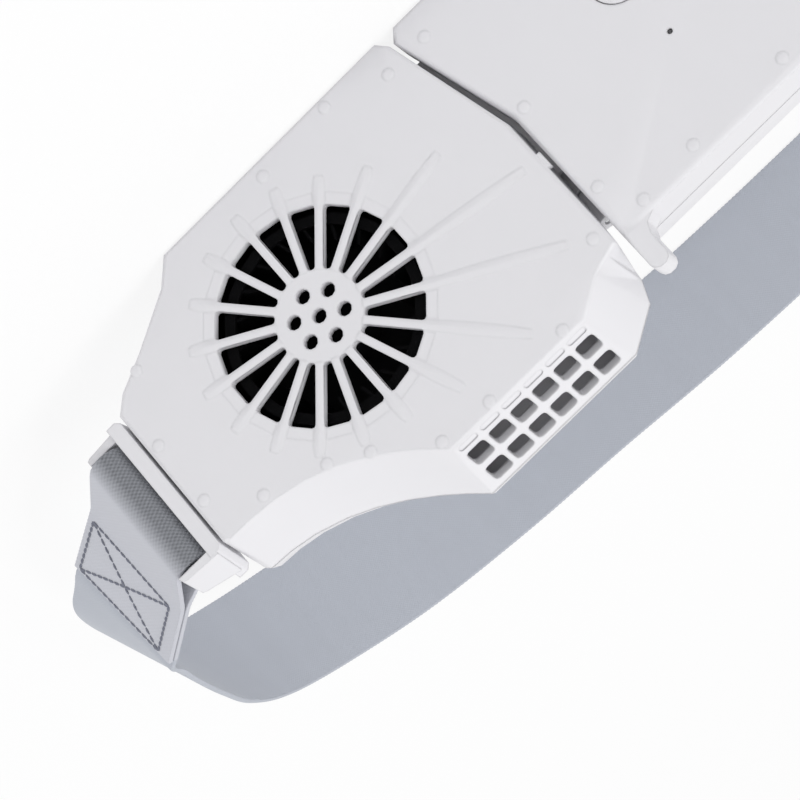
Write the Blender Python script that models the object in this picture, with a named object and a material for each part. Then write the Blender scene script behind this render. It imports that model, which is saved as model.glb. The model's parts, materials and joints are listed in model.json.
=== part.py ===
"""Waist fan on a webbing belt.

A battery module sits between two blower modules. Each blower hangs on an upright hinge pin,
ends in a hinged belt loop, and blows upward through a slotted snout. A webbing belt with a
side release buckle closes the ring behind the wearer.

Metres, +Z up. X runs along the modules and +Y from the outer face towards the wearer.
The modules stand on their lower edges at Z = 0. The left side mirrors the right side.
"""

import math

import bmesh
import bpy
from mathutils import Matrix, Vector

# Gaps
CLEARANCE = 0.0003
SEAM_GAP = 0.0021
FOOT_SEAM_GAP = 0.0012
END_GAP = 0.0010

# Shells
WALL = 0.0020
FRONT_WALL = 0.0026
HINGE_WALL = 0.0068
EDGE_CHAMFER = 0.0014
TOE_RUN = 0.0027
TOE_HEIGHT = 0.0035
REAR_ROUNDING = 0.0070
SHELL_OVERRUN = 0.0020

# Sides of the round posts, screws and holes inside the shells
HIDDEN_SIDES = 8

# Centre module
CENTRE_WIDTH = 0.0886
CENTRE_FOOT_WIDTH = 0.1084
CENTRE_HEIGHT = 0.0883
CENTRE_DEPTH = 0.0280
CENTRE_PARTING = 0.0120
FLARE_HEIGHT = 0.0435
CORNER_CUT = 0.0013
EAR_WIDTH = 0.0058
EAR_RISE = 0.0127
EAR_DEPTH = 0.0080
EAR_FILLET = 0.0042

# Fan module outline, measured from its hinge side and its lower edge
FAN_LENGTH = 0.1279
FAN_DEPTH = 0.0300
FAN_PARTING = 0.0205
FAN_HEIGHT = 0.1060
FAN_FACE_HEIGHT = 0.0975
SNOUT_START = 0.0172
SNOUT_LENGTH = 0.0521
SNOUT_FACE_INSET = 0.0020
HINGE_SIDE_HEIGHT = 0.0903
HINGE_SIDE_FACE_HEIGHT = 0.0880
HINGE_SIDE_TAPER = 0.0032
END_HEIGHT = 0.0778
END_FACE_HEIGHT = 0.0724
END_BOTTOM = 0.0246
FOOT_LENGTH = 0.0791
HAUNCH = ((0.17, 0.26), (0.59, 0.62), (0.88, 0.83))
SHOULDER_STEPS = (0.09, 0.19, 0.31, 0.44, 0.58, 0.74, 0.88)
RIDGE_CURVE = 2.05
FACE_CURVE = 2.5
RIDGE_BEND = ((0.35, 0.54), (0.20, 0.14))
FACE_BEND = ((0.49, 0.28), (0.21, 0.14))
FAN_EDGE = 0.0008

# Air intake in the front of a fan module
INTAKE_FROM_SEAM = 0.0698
INTAKE_HEIGHT = 0.0447
INTAKE_RADIUS = 0.0300
GRILLE_HUB_RADIUS = 0.0126
SPOKE_COUNT = 18
SPOKE_WIDTH = 0.0023
OPENING_CORNER = 0.0014
HUB_HOLE_RADIUS = 0.0021
HUB_HOLE_CIRCLE = 0.0072
HUB_HOLE_COUNT = 6
POCKET_WIDTH = 0.0032
POCKET_DEPTH = 0.0004
FIN_WIDTH = 0.0022
FIN_RISE = 0.0008
FIN_SHORT_REACH = 0.0070
FIN_LONG_REACH = 0.0390
FIN_LONG_ANGLE = 155.0

# Air outlet in the sloping top of the snout
VENT_COLUMNS = 6
VENT_PITCH = 0.00775
VENT_HOLE = 0.0062
VENT_ROW_STARTS = (0.0052, 0.0137)
VENT_SLOT_START = 0.0016
VENT_SLOT_HEIGHT = 0.0019
VENT_SLOT_DEPTH = 0.0006
VENT_CORNER = 0.0011

# Rivet heads moulded on the faces.
RIVET_RADIUS = 0.0017
RIVET_RISE = 0.0006
# Fan rivets as across from the hinge side and height, centre rivets as across from the middle and height
FAN_RIVETS = (
    (0.0039, 0.0832), (0.0142, 0.0094), (0.0325, 0.0030), (0.0568, 0.0046),
    (SNOUT_START + 0.0081, FAN_FACE_HEIGHT - 0.0022), (SNOUT_START + 0.0341, FAN_FACE_HEIGHT - 0.0022),
    (FAN_LENGTH - 0.0032, 0.0592), (FAN_LENGTH - 0.0032, 0.0389), (FAN_LENGTH - 0.0115, 0.0188),
)
# Rivets under the shoulder, as their share of its run and how far they lie below its edge
SHOULDER_RIVETS = ((0.0, 0.0034), (0.265, 0.0018), (0.445, 0.0020), (0.749, 0.0032))
CENTRE_RIVETS = (
    (0.0156, CENTRE_HEIGHT - 0.0043), (0.0341, CENTRE_HEIGHT - 0.0032),
    (CENTRE_WIDTH / 2 - 0.0039, 0.0738), (CENTRE_WIDTH / 2 - 0.0039, FLARE_HEIGHT),
    (CENTRE_FOOT_WIDTH / 2 - 0.0072, 0.0090),
)

# Blower
IMPELLER_RADIUS = 0.0285
IMPELLER_FRONT = 0.0036
IMPELLER_BACK = 0.0172
IMPELLER_RING_WIDTH = 0.0030
IMPELLER_PLATE = 0.0012
BLADE_COUNT = 20
BLADE_PHASE = 0.3
BLADE_DEPTH = 0.0065
BLADE_THICKNESS = 0.0009
BLADE_LEAN = 28.0
ROTOR_RADIUS = 0.0115
ROTOR_WALL = 0.0015
ROTOR_FRONT = 0.0055
SCROLL_GAP = 0.0022
SCROLL_GROWTH = 0.0095
SCROLL_WALL = 0.0016
SCROLL_PLATE = 0.0014
SCROLL_TOP = 0.0930
SCROLL_START = 85.0
SCROLL_SWEEP = 265.0
SCROLL_STEPS = 20
STATOR_RADIUS = 0.0088
STATOR_FLANGE_RADIUS = 0.0130
STATOR_FLANGE = 0.0010
BEARING_RADIUS = 0.0037
BEARING_LENGTH = 0.0060
SHAFT_RADIUS = 0.0015
MOTOR_BOSS_RADIUS = 0.0120
LEAD_RADIUS = 0.0011

# Lip behind the lower seam, and the stop beside it
LIP_FRONT = 0.0127
LIP_THICKNESS = 0.0018
LIP_OVERLAP = 0.0010
LIP_TOP = 0.0580
GROOVE_DEPTH = 0.0018
GROOVE_BACK = 0.0172
STOP_REACH = 0.0011
STOP_BOTTOM = 0.0550
STOP_TOP = 0.0600

# Screws and the posts that take them
SCREW_RADIUS = 0.0012
SCREW_HOLE_RADIUS = 0.0015
SCREW_HEAD_RADIUS = 0.0023
SCREW_HEAD_HEIGHT = 0.0014
SCREW_TIP = 0.0050
POST_RADIUS = 0.0030
CENTRE_POSTS = ((0.0325, 0.0750), (0.0360, 0.0125))
HINGE_SIDE_POSTS = ((0.0125, 0.0800), (0.0170, 0.0105))
# Posts beside the blower, as an angle round the intake and a share of the room from the blower to the end
BLOWER_POSTS = ((24.3, 0.4236), (-25.3, 0.3499))

# Upright hinge between the centre and a fan module
HINGE_DEPTH = 0.0210
HINGE_RADIUS = 0.0040
HINGE_BOTTOM = 0.0444
HINGE_TOP = 0.0740
HINGE_MARGIN = 0.0004
PIN_RADIUS = 0.0012
PIN_HOLE_RADIUS = 0.0016

# Hinged belt loop on the end of a fan module
LOOP_HINGE_DEPTH = 0.0130
LOOP_HINGE_RADIUS = 0.0030
LOOP_PLATE = 0.0043
LOOP_BOTTOM = 0.0247
LOOP_FACE_TOP = 0.0716
LOOP_TOP = 0.0765
LOOP_FRONT = 0.0008
LOOP_KNUCKLES = (0.0285, 0.0390, 0.0520, 0.0640)
ARM_LENGTH = 0.0103
ARM_DEPTH = 0.0098
ARM_FACE_END_TOP = 0.0716
ARM_END_TOP = 0.0736
ARM_ROUNDING = 0.0016
LOWER_ARM_LENGTH = 0.0098
LOWER_ARM_RECESS = 0.0022
BAR_FROM_PLATE = 0.0064
BAR_DEPTH = 0.0066
BAR_RADIUS = 0.0042
BAR_END_RADIUS = 0.0022
BAR_SEAT = 0.0010

# Webbing
WEBBING_WIDTH = 0.0400
WEBBING_THICKNESS = 0.0016
WEBBING_SIDE_GAP = 0.0009
LOOP_WEBBING_CENTRE = 0.0487
STITCHED_LENGTH = 0.0450
BELT_STEP = 0.0090
REAR_HALF_LENGTH = 0.0700
REAR_STEPS = 14
# Where a turned end leaves its bar, in degrees from the way that it leads, and where its layers meet
TURN_LEAVES = 75.0
LAYERS_MEET = 0.42
HOLLOW_ENDS = 0.36
# The short strap's two turned ends, as shares of its length, and where their hollows end
STRAP_NEAR_SHARE = 0.55
STRAP_FAR_SHARE = 0.52
STRAP_HOLLOW_ENDS = 0.20
STRAP_LAYER_TRIM = 0.98
# Upper edge of the belt on the right: across, back, height, and outward lean of its lower edge
RIGHT_BELT = (
    (0.2183, 0.0570, 0.0665, 0.0110), (0.2213, 0.0740, 0.0640, 0.0140),
    (0.2256, 0.1070, 0.0600, 0.0145), (0.2280, 0.1380, 0.0560, 0.0120),
    (0.2235, 0.1660, 0.0520, 0.0020), (0.2080, 0.1945, 0.0472, -0.0060),
    (0.1815, 0.2210, 0.0434, -0.0080), (0.1450, 0.2390, 0.0407, -0.0055),
    (0.1080, 0.2465, 0.0400, -0.0020),
)
LEFT_BELT = (
    (0.2375, 0.1750, 0.0655, 0.0), (0.2260, 0.1960, 0.0605, 0.0), (0.2020, 0.2165, 0.0540, 0.0),
    (0.1670, 0.2325, 0.0470, 0.0), (0.1250, 0.2432, 0.0415, 0.0), (0.0950, 0.2492, 0.0402, 0.0),
)
REAR_BELT_BACK = 0.2592
REAR_BELT_SIDE = 0.2542

# Side release buckle on the left, along the straight run of the belt
BUCKLE_OUT = 0.2390
BUCKLE_FRONT = 0.0600
BUCKLE_THICKNESS = 0.0100
BUCKLE_HALF_HEIGHT = 0.0262
BUCKLE_RAIL = 0.0054
BUCKLE_BAR_RADIUS = 0.0018
BUCKLE_SLOT = 0.0052
SOCKET_CORNER = 0.0040
PLUG_CORNER = 0.0030
SOCKET_LENGTH = 0.0390
SOCKET_FLOOR = 0.0030
SOCKET_HALF_HEIGHT = 0.0212
SOCKET_HALF_THICKNESS = 0.0032
WINDOW_START = 0.0190
WINDOW_LENGTH = 0.0150
PLUG_LENGTH = 0.0180
PLUG_HALF_THICKNESS = 0.0028
TONGUE_LENGTH = 0.0230
TONGUE_HALF_WIDTH = 0.0040
ARM_PIVOT_HEIGHT = 0.0137
PRESS_ARM_WIDTH = 0.0032
PRESS_ARM_REACH = 0.0215
PAD_LENGTH = 0.0125
PAD_HEIGHT = 0.0250
ADJUSTER_LENGTH = 0.0450
KEEPER_FROM_PLUG = 0.0240
KEEPER_LENGTH = 0.0100
KEEPER_WALL = 0.0016
KEEPER_GAP = 0.0006

# Battery, board and controls
CELL_RADIUS = 0.0090
CELL_LENGTH = 0.0650
CELL_PITCH = 0.0195
CELL_BOTTOM = 0.0088
CELL_COUNT = 3
BOARD_WIDTH = 0.0620
BOARD_FRONT = 0.0058
BOARD_THICKNESS = 0.0012
BOARD_BOTTOM = 0.0042
BOARD_TOP = 0.0640
STANDOFF_RADIUS = 0.0022
BUTTON_HEIGHT = 0.0345
BUTTON_RADIUS = 0.0081
BUTTON_PROUD = 0.0004
BUTTON_FLANGE = 0.0011
BUTTON_FLANGE_THICKNESS = 0.0008
SWITCH_HALF_WIDTH = 0.0030
SWITCH_THICKNESS = 0.0008
LED_HEIGHT = 0.0570
LED_RADIUS = 0.0005
PORT_WIDTH = 0.0090
PORT_THICKNESS = 0.0032
PORT_LENGTH = 0.0072
PORT_WALL = 0.0004

# Derived places
CENTRE_HALF = CENTRE_WIDTH / 2
FOOT_HALF = CENTRE_FOOT_WIDTH / 2
FLARE = FOOT_HALF - CENTRE_HALF
FAN_FLARE = FLARE - SEAM_GAP + FOOT_SEAM_GAP
HINGE_X = CENTRE_HALF + SEAM_GAP / 2
FAN_X = CENTRE_HALF + SEAM_GAP
FAN_END_X = FAN_X + FAN_LENGTH
INTAKE_X = FAN_X + INTAKE_FROM_SEAM
LOOP_HINGE_X = FAN_END_X + END_GAP / 2
LOOP_X = FAN_END_X + END_GAP
BAR_X = LOOP_X + LOOP_PLATE + BAR_FROM_PLATE
WEBBING_HALF = WEBBING_WIDTH / 2
SLOT_HALF = WEBBING_HALF + WEBBING_SIDE_GAP
SLOPE = math.atan2(FAN_HEIGHT - FAN_FACE_HEIGHT, FAN_PARTING)

WHITE = ("white plastic", (0.74, 0.73, 0.76), 0.42, 0.0)
BUTTON_WHITE = ("button plastic", (0.70, 0.70, 0.72), 0.38, 0.0)
BLACK = ("black plastic", (0.010, 0.010, 0.012), 0.45, 0.0)
SCROLL_GREY = ("duct plastic", (0.16, 0.16, 0.17), 0.55, 0.0)
BUCKLE_GREY = ("buckle plastic", (0.30, 0.31, 0.33), 0.48, 0.0)
WEBBING = ("grey webbing", (0.41, 0.44, 0.48), 0.92, 0.0)
STEEL = ("steel", (0.56, 0.57, 0.58), 0.28, 1.0)
COPPER = ("motor winding", (0.45, 0.22, 0.10), 0.40, 0.8)
CELL_WRAP = ("cell sleeve", (0.03, 0.10, 0.28), 0.35, 0.0)
BOARD_GREEN = ("circuit board", (0.02, 0.12, 0.06), 0.50, 0.0)
LENS_DARK = ("lamp lens", (0.020, 0.020, 0.022), 0.20, 0.0)
LEAD_SLEEVE = ("lead sleeve", (0.03, 0.03, 0.03), 0.60, 0.0)


# Solids are pairs of a vertex list and a face list

def loft(rings):
    """Close a row of rings with the same number of points into one solid."""
    count = len(rings[0])
    vertices = [point for ring in rings for point in ring]
    faces = [tuple(range(count)), tuple(range(len(vertices) - count, len(vertices)))]
    for level in range(len(rings) - 1):
        for i in range(count):
            a = level * count + i
            b = level * count + (i + 1) % count
            faces.append((a, b, b + count))
            faces.append((a, b + count, a + count))
    return vertices, faces


def closed_loft(rings):
    """Join the rings in a circle, without end caps."""
    count = len(rings[0])
    vertices = [point for ring in rings for point in ring]
    faces = []
    for level in range(len(rings)):
        upper = (level + 1) % len(rings)
        for i in range(count):
            j = (i + 1) % count
            faces.append((level * count + i, level * count + j, upper * count + j, upper * count + i))
    return vertices, faces


def layers(*outlines):
    """Loft upright outlines of (x, z) points, each given with its depth."""
    return loft([[(x, depth, z) for x, z in outline] for outline, depth in outlines])


def through(outline, front, back):
    return layers((outline, front), (outline, back))


def upright(outline, bottom, top):
    """Raise an outline of (x, y) points from bottom to top."""
    return loft([[(x, y, z) for x, y in outline] for z in (bottom, top)])


def box(x0, x1, y0, y1, z0, z1):
    return upright([(x0, y0), (x1, y0), (x1, y1), (x0, y1)], z0, z1)


def circle(axis, centre, radius, along, sides):
    """A ring of points round an axis that runs along Y or Z through the centre."""
    x, y, z = centre
    points = []
    for i in range(sides):
        angle = 2 * math.pi * (i + 0.5) / sides
        across = radius * math.cos(angle)
        other = radius * math.sin(angle)
        if axis == "Y":
            points.append((x + across, y + along, z + other))
        else:
            points.append((x + across, y + other, z + along))
    return points


def turned(axis, centre, profile, sides):
    """A solid with end caps, from a profile of (radius, distance along the axis)."""
    return loft([circle(axis, centre, radius, along, sides) for radius, along in profile])


def turned_ring(axis, centre, profile, sides):
    """An open-centred solid, from a closed profile of (radius, distance along the axis)."""
    return closed_loft([circle(axis, centre, radius, along, sides) for radius, along in profile])


def rod(axis, centre, radius, start, end, sides=16):
    return turned(axis, centre, [(radius, start), (radius, end)], sides)


def shrink(outline, inset):
    """Scale an outline about the middle of its box, so that each side of the box moves in."""
    xs = [x for x, _ in outline]
    zs = [z for _, z in outline]
    mid_x, half_x = (max(xs) + min(xs)) / 2, (max(xs) - min(xs)) / 2
    mid_z, half_z = (max(zs) + min(zs)) / 2, (max(zs) - min(zs)) / 2
    scale_x, scale_z = 1 - inset / half_x, 1 - inset / half_z
    return [(mid_x + (x - mid_x) * scale_x, mid_z + (z - mid_z) * scale_z) for x, z in outline]


def rounded(corners, radius, steps=1):
    """Round every corner of a convex outline."""
    points = []
    for i, corner in enumerate(corners):
        here = Vector(corner)
        before = (Vector(corners[i - 1]) - here).normalized()
        after = (Vector(corners[(i + 1) % len(corners)]) - here).normalized()
        half = before.angle(after) / 2
        reach = radius / math.tan(half)
        centre = here + (before + after).normalized() * radius / math.sin(half)
        start = here + before * reach - centre
        end = here + after * reach - centre
        turn = start.angle_signed(end)
        for step in range(steps + 1):
            angle = -turn * step / steps
            arm = Matrix.Rotation(angle, 2) @ start
            points.append(tuple(centre + arm))
    return points


# Objects

def finish(name, colour, roughness, metallic):
    material = bpy.data.materials.get(name)
    if material:
        return material
    material = bpy.data.materials.new(name)
    material.use_nodes = True
    shader = material.node_tree.nodes["Principled BSDF"]
    shader.inputs["Base Color"].default_value = (*colour, 1.0)
    shader.inputs["Roughness"].default_value = roughness
    shader.inputs["Metallic"].default_value = metallic
    material.diffuse_color = (*colour, 1.0)
    return material


def make(name, solids, look=WHITE):
    """One object from one or more solids, with its faces turned outward."""
    mesh = bpy.data.meshes.new(name)
    form = bmesh.new()
    for vertices, faces in solids:
        corners = [form.verts.new(point) for point in vertices]
        for face in faces:
            form.faces.new([corners[i] for i in face])
    bmesh.ops.recalc_face_normals(form, faces=form.faces)
    form.to_mesh(mesh)
    form.free()
    piece = bpy.data.objects.new(name, mesh)
    bpy.context.collection.objects.link(piece)
    mesh.materials.append(finish(*look))
    return piece


def combine(piece, solids, operation):
    """Cut the solids from the piece, or join them to it, and keep the result as its mesh."""
    tool = make("tool", solids)
    step = piece.modifiers.new(operation, "BOOLEAN")
    step.operation = operation
    step.object = tool
    graph = bpy.context.evaluated_depsgraph_get()
    result = bpy.data.meshes.new_from_object(piece.evaluated_get(graph))
    piece.modifiers.clear()
    piece.data = result
    bpy.data.objects.remove(tool)
    return piece


def cut(piece, *solids):
    return combine(piece, solids, "DIFFERENCE")


def join(piece, *solids):
    return combine(piece, solids, "UNION")


def mirrored(piece, name):
    """The same piece for the left side, as an object and a mesh of its own."""
    twin = bpy.data.objects.new(name, piece.data.copy())
    bpy.context.collection.objects.link(twin)
    twin.data.transform(Matrix.Scale(-1, 4, (1, 0, 0)))
    twin.data.flip_normals()
    return twin


def joint_axis(name, position, parent):
    """An empty on a joint's axis, which carries the pieces that turn or slide there."""
    axis = bpy.data.objects.new(name, None)
    axis.empty_display_size = 0.01
    bpy.context.collection.objects.link(axis)
    axis.location = Vector(position) - (parent_place(parent) if parent else Vector())
    axis.parent = parent
    return axis


def parent_place(axis):
    place = Vector(axis.location)
    return place + parent_place(axis.parent) if axis.parent else place


def carry(axis, pieces):
    """Hang pieces modelled in place on the empty, which becomes their origin."""
    for piece in pieces:
        piece.data.transform(Matrix.Translation(-parent_place(axis)))
        piece.parent = axis


# Outlines of the shells

def centre_outline(half, foot, bottom, top):
    right = [(foot - TOE_RUN, bottom), (foot, bottom + TOE_HEIGHT), (half, FLARE_HEIGHT),
             (half, top - CORNER_CUT), (half - CORNER_CUT, top)]
    left = [(-x, z) for x, z in reversed(right)]
    return right + left


def shoulder_run(inset):
    """Where the shoulder starts and ends, measured from the hinge side."""
    return SNOUT_START + SNOUT_LENGTH - inset, FAN_LENGTH - CORNER_CUT


def fan_outline(ridge):
    """The right module's outline at its ridge or at its front face, in world X and Z."""
    top = FAN_HEIGHT if ridge else FAN_FACE_HEIGHT
    end_top = END_HEIGHT if ridge else END_FACE_HEIGHT
    side_top = HINGE_SIDE_HEIGHT if ridge else HINGE_SIDE_FACE_HEIGHT
    curve = RIDGE_CURVE if ridge else FACE_CURVE
    inset = 0.0 if ridge else SNOUT_FACE_INSET
    snout_left = SNOUT_START + inset
    snout_right, shoulder_end = shoulder_run(inset)
    foot_start = FAN_FLARE + TOE_RUN
    foot_end = foot_start + FOOT_LENGTH
    points = [(foot_start, 0.0), (foot_end, 0.0)]
    for run, rise in HAUNCH:
        points.append((foot_end + run * (FAN_LENGTH - foot_end), rise * END_BOTTOM))
    points += [(FAN_LENGTH, END_BOTTOM), (FAN_LENGTH, end_top - CORNER_CUT), (shoulder_end, end_top)]
    for step in reversed(SHOULDER_STEPS):
        rise = (top - end_top) * (1 - step) ** curve
        points.append((snout_right + step * (shoulder_end - snout_right), end_top + rise))
    points += [(snout_right, top), (snout_left, top)]
    rise = top - side_top
    bend = RIDGE_BEND if ridge else FACE_BEND
    taper = HINGE_SIDE_TAPER if ridge else 0.0
    points += [(across * snout_left, side_top + up * rise) for across, up in bend]
    points += [(taper, side_top), (0.0, FLARE_HEIGHT), (FAN_FLARE, TOE_HEIGHT)]
    return [(FAN_X + u, z) for u, z in points]


def hinge_side(z):
    """X of the fan module's slanting hinge side at a height."""
    slant = max(0.0, min(1.0, (FLARE_HEIGHT - z) / (FLARE_HEIGHT - TOE_HEIGHT)))
    return FAN_X + FAN_FLARE * slant


def fan_cavity(outline):
    """The hollow inside an outline, with solid walls at both hinges."""
    hollow = []
    for x, z in shrink(outline, WALL):
        low = hinge_side(z) + HINGE_WALL
        hollow.append((min(max(x, low), FAN_END_X - HINGE_WALL), z))
    return hollow


def fan_rivets():
    """Places of the rivets on the front of the right module."""
    places = list(FAN_RIVETS)
    start, end = shoulder_run(SNOUT_FACE_INSET)
    for share, below in SHOULDER_RIVETS:
        rise = (FAN_FACE_HEIGHT - END_FACE_HEIGHT) * (1 - share) ** FACE_CURVE
        places.append((start + share * (end - start), END_FACE_HEIGHT + rise - below))
    return [(FAN_X + u, z) for u, z in places]


def rivet(x, z):
    profile = [(RIVET_RADIUS, FRONT_WALL / 2), (RIVET_RADIUS, 0.0), (RIVET_RADIUS * 0.6, -RIVET_RISE)]
    return turned("Y", (x, 0, z), profile, 8)


# Grille and vents of a fan module

def on_intake(radius, angle):
    """A point of the face, given by its distance and direction from the intake's middle."""
    return INTAKE_X + radius * math.cos(angle), INTAKE_HEIGHT + radius * math.sin(angle)


def grille_opening(index):
    """One opening between two spokes, with rounded corners."""
    middle = math.radians(90 + (index + 0.5) * 360 / SPOKE_COUNT)
    half = math.pi / SPOKE_COUNT
    corners = []
    inner, outer = GRILLE_HUB_RADIUS, INTAKE_RADIUS
    for radius, side in ((inner, -1), (outer, -1), (outer, 1), (inner, 1)):
        swing = half - math.asin(SPOKE_WIDTH / 2 / radius)
        corners.append(on_intake(radius, middle + side * swing))
    inner_width = (Vector(corners[0]) - Vector(corners[3])).length
    return rounded(corners, min(OPENING_CORNER, inner_width * 0.45), 2)


def pocket(index):
    """A shallow step outside one opening."""
    middle = math.radians(90 + (index + 0.5) * 360 / SPOKE_COUNT)
    half = math.pi / SPOKE_COUNT
    inner = INTAKE_RADIUS - POCKET_WIDTH
    outer = INTAKE_RADIUS + POCKET_WIDTH
    corners = []
    for radius, side in ((inner, -1), (outer, -1), (outer, 1), (inner, 1)):
        swing = half - math.asin(SPOKE_WIDTH * 0.8 / radius)
        corners.append(on_intake(radius, middle + side * swing))
    return through(corners, -SHELL_OVERRUN, POCKET_DEPTH)


def fin(index):
    """A raised rib that carries a spoke on over the face and fades into it."""
    angle = math.radians(90 + index * 360 / SPOKE_COUNT)
    towards_hinge = max(0.0, math.cos(angle - math.radians(FIN_LONG_ANGLE)))
    reach = INTAKE_RADIUS + FIN_SHORT_REACH + (FIN_LONG_REACH - FIN_SHORT_REACH) * towards_hinge ** 4
    out = Vector((math.cos(angle), 0, math.sin(angle)))
    side = Vector((-math.sin(angle), 0, math.cos(angle))) * FIN_WIDTH / 2
    centre = Vector((INTAKE_X, 0, INTAKE_HEIGHT))
    rings = []
    for radius, rise in ((INTAKE_RADIUS - POCKET_WIDTH / 2, FIN_RISE), (reach, 0.0)):
        base = centre + out * radius
        crest = base + Vector((0, -rise, 0))
        sunk = base + Vector((0, FRONT_WALL / 2, 0))
        rings.append([tuple(p) for p in (sunk - side, sunk + side, crest + side * 0.5, crest - side * 0.5)])
    return loft(rings)


def on_snout(across, up, out):
    """A point on the sloping snout face: across, up the slope, and out from the face."""
    y = up * math.cos(SLOPE) - out * math.sin(SLOPE)
    z = FAN_FACE_HEIGHT + up * math.sin(SLOPE) + out * math.cos(SLOPE)
    return across, y, z


def vent_cutter(column, start, height, depth):
    """A rounded square hole through the sloping face."""
    middle = FAN_X + SNOUT_START + SNOUT_LENGTH / 2
    left = middle + (column - (VENT_COLUMNS - 1) / 2) * VENT_PITCH - VENT_HOLE / 2
    right, end = left + VENT_HOLE, start + height
    corners = [(left, start), (right, start), (right, end), (left, end)]
    outline = rounded(corners, min(VENT_CORNER, height * 0.4), 2)
    return loft([[on_snout(x, up, out) for x, up in outline] for out in (-depth, SHELL_OVERRUN)])


# Fan module pieces

def screw_hole(x, z, front, back, head_floor):
    """A clearance hole with a seat for the screw head, open at the back."""
    return turned("Y", (x, 0, z), [(SCREW_HOLE_RADIUS, front), (SCREW_HOLE_RADIUS, head_floor),
                                   (SCREW_HEAD_RADIUS + CLEARANCE, head_floor),
                                   (SCREW_HEAD_RADIUS + CLEARANCE, back)], HIDDEN_SIDES)


def seam_strip(inner, outer, front, back, bottom, top):
    """An upright strip along the seam, between two distances inward from the fan module's side."""
    low, bend, high = bottom, FLARE_HEIGHT, top
    outline = [(hinge_side(z) + outer, z) for z in (low, bend, high)]
    outline += [(hinge_side(z) - inner, z) for z in (high, bend, low)]
    return through(outline, front, back)


def fan_front_cover():
    face = fan_outline(False)
    ridge = fan_outline(True)
    body = layers((shrink(face, FAN_EDGE), 0.0), (face, FAN_EDGE), (ridge, FAN_PARTING))
    piece = make("right_fan_front_cover", [body])
    hollow_depth = FAN_PARTING + SHELL_OVERRUN
    cut(piece, layers((fan_cavity(face), FRONT_WALL), (fan_cavity(ridge), hollow_depth)))
    places = [(x, 0, z) for x, z in fan_posts()]
    pilot_end = SCREW_TIP - 2 * CLEARANCE
    join(piece, *[rod("Y", place, POST_RADIUS, FRONT_WALL / 2, FAN_PARTING, HIDDEN_SIDES)
                  for place in places])
    cut(piece, *[rod("Y", place, SCREW_HOLE_RADIUS, pilot_end, hollow_depth, HIDDEN_SIDES)
                 for place in places])
    cut(piece, *[pocket(i) for i in range(SPOKE_COUNT)])
    inside = FRONT_WALL + SHELL_OVERRUN
    cut(piece, *[through(grille_opening(i), -SHELL_OVERRUN, inside) for i in range(SPOKE_COUNT)])
    holes = [(INTAKE_X, INTAKE_HEIGHT)]
    for i in range(HUB_HOLE_COUNT):
        holes.append(on_intake(HUB_HOLE_CIRCLE, math.radians(90 + i * 360 / HUB_HOLE_COUNT)))
    cut(piece, *[rod("Y", (x, 0, z), HUB_HOLE_RADIUS, -SHELL_OVERRUN, inside, 10) for x, z in holes])
    vents = []
    for column in range(VENT_COLUMNS):
        for start in VENT_ROW_STARTS:
            vents.append(vent_cutter(column, start, VENT_HOLE, WALL + SHELL_OVERRUN))
        vents.append(vent_cutter(column, VENT_SLOT_START, VENT_SLOT_HEIGHT, VENT_SLOT_DEPTH))
    cut(piece, *vents)
    hinge = (HINGE_X, HINGE_DEPTH, 0)
    loop_hinge = (LOOP_HINGE_X, LOOP_HINGE_DEPTH, 0)
    cut(piece,
        rod("Z", hinge, HINGE_RADIUS + HINGE_MARGIN, HINGE_BOTTOM - HINGE_MARGIN, HINGE_TOP + HINGE_MARGIN),
        rod("Z", loop_hinge, LOOP_HINGE_RADIUS + HINGE_MARGIN, LOOP_KNUCKLES[0] - HINGE_MARGIN,
            LOOP_KNUCKLES[3] + HINGE_MARGIN))
    low, high = LOOP_KNUCKLES[1] + CLEARANCE, LOOP_KNUCKLES[2] - CLEARANCE
    join(piece, box(FAN_END_X - HINGE_WALL * 0.7, LOOP_HINGE_X, LOOP_HINGE_DEPTH - LOOP_HINGE_RADIUS * 0.7,
                    LOOP_HINGE_DEPTH + LOOP_HINGE_RADIUS * 0.7, low, high))
    join(piece, rod("Z", loop_hinge, LOOP_HINGE_RADIUS, low, high))
    cut(piece, rod("Z", loop_hinge, PIN_HOLE_RADIUS, low - CLEARANCE, high + CLEARANCE, 12))
    join(piece, seam_strip(SEAM_GAP + LIP_OVERLAP, HINGE_WALL / 2, LIP_FRONT, LIP_FRONT + LIP_THICKNESS,
                           2 * TOE_HEIGHT, LIP_TOP))
    join(piece, box(FAN_X - STOP_REACH, FAN_X + WALL, FAN_EDGE, FAN_EDGE + WALL, STOP_BOTTOM, STOP_TOP))
    join(piece, *[fin(i) for i in range(SPOKE_COUNT)])
    join(piece, *[rivet(x, z) for x, z in fan_rivets()])
    return piece


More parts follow.
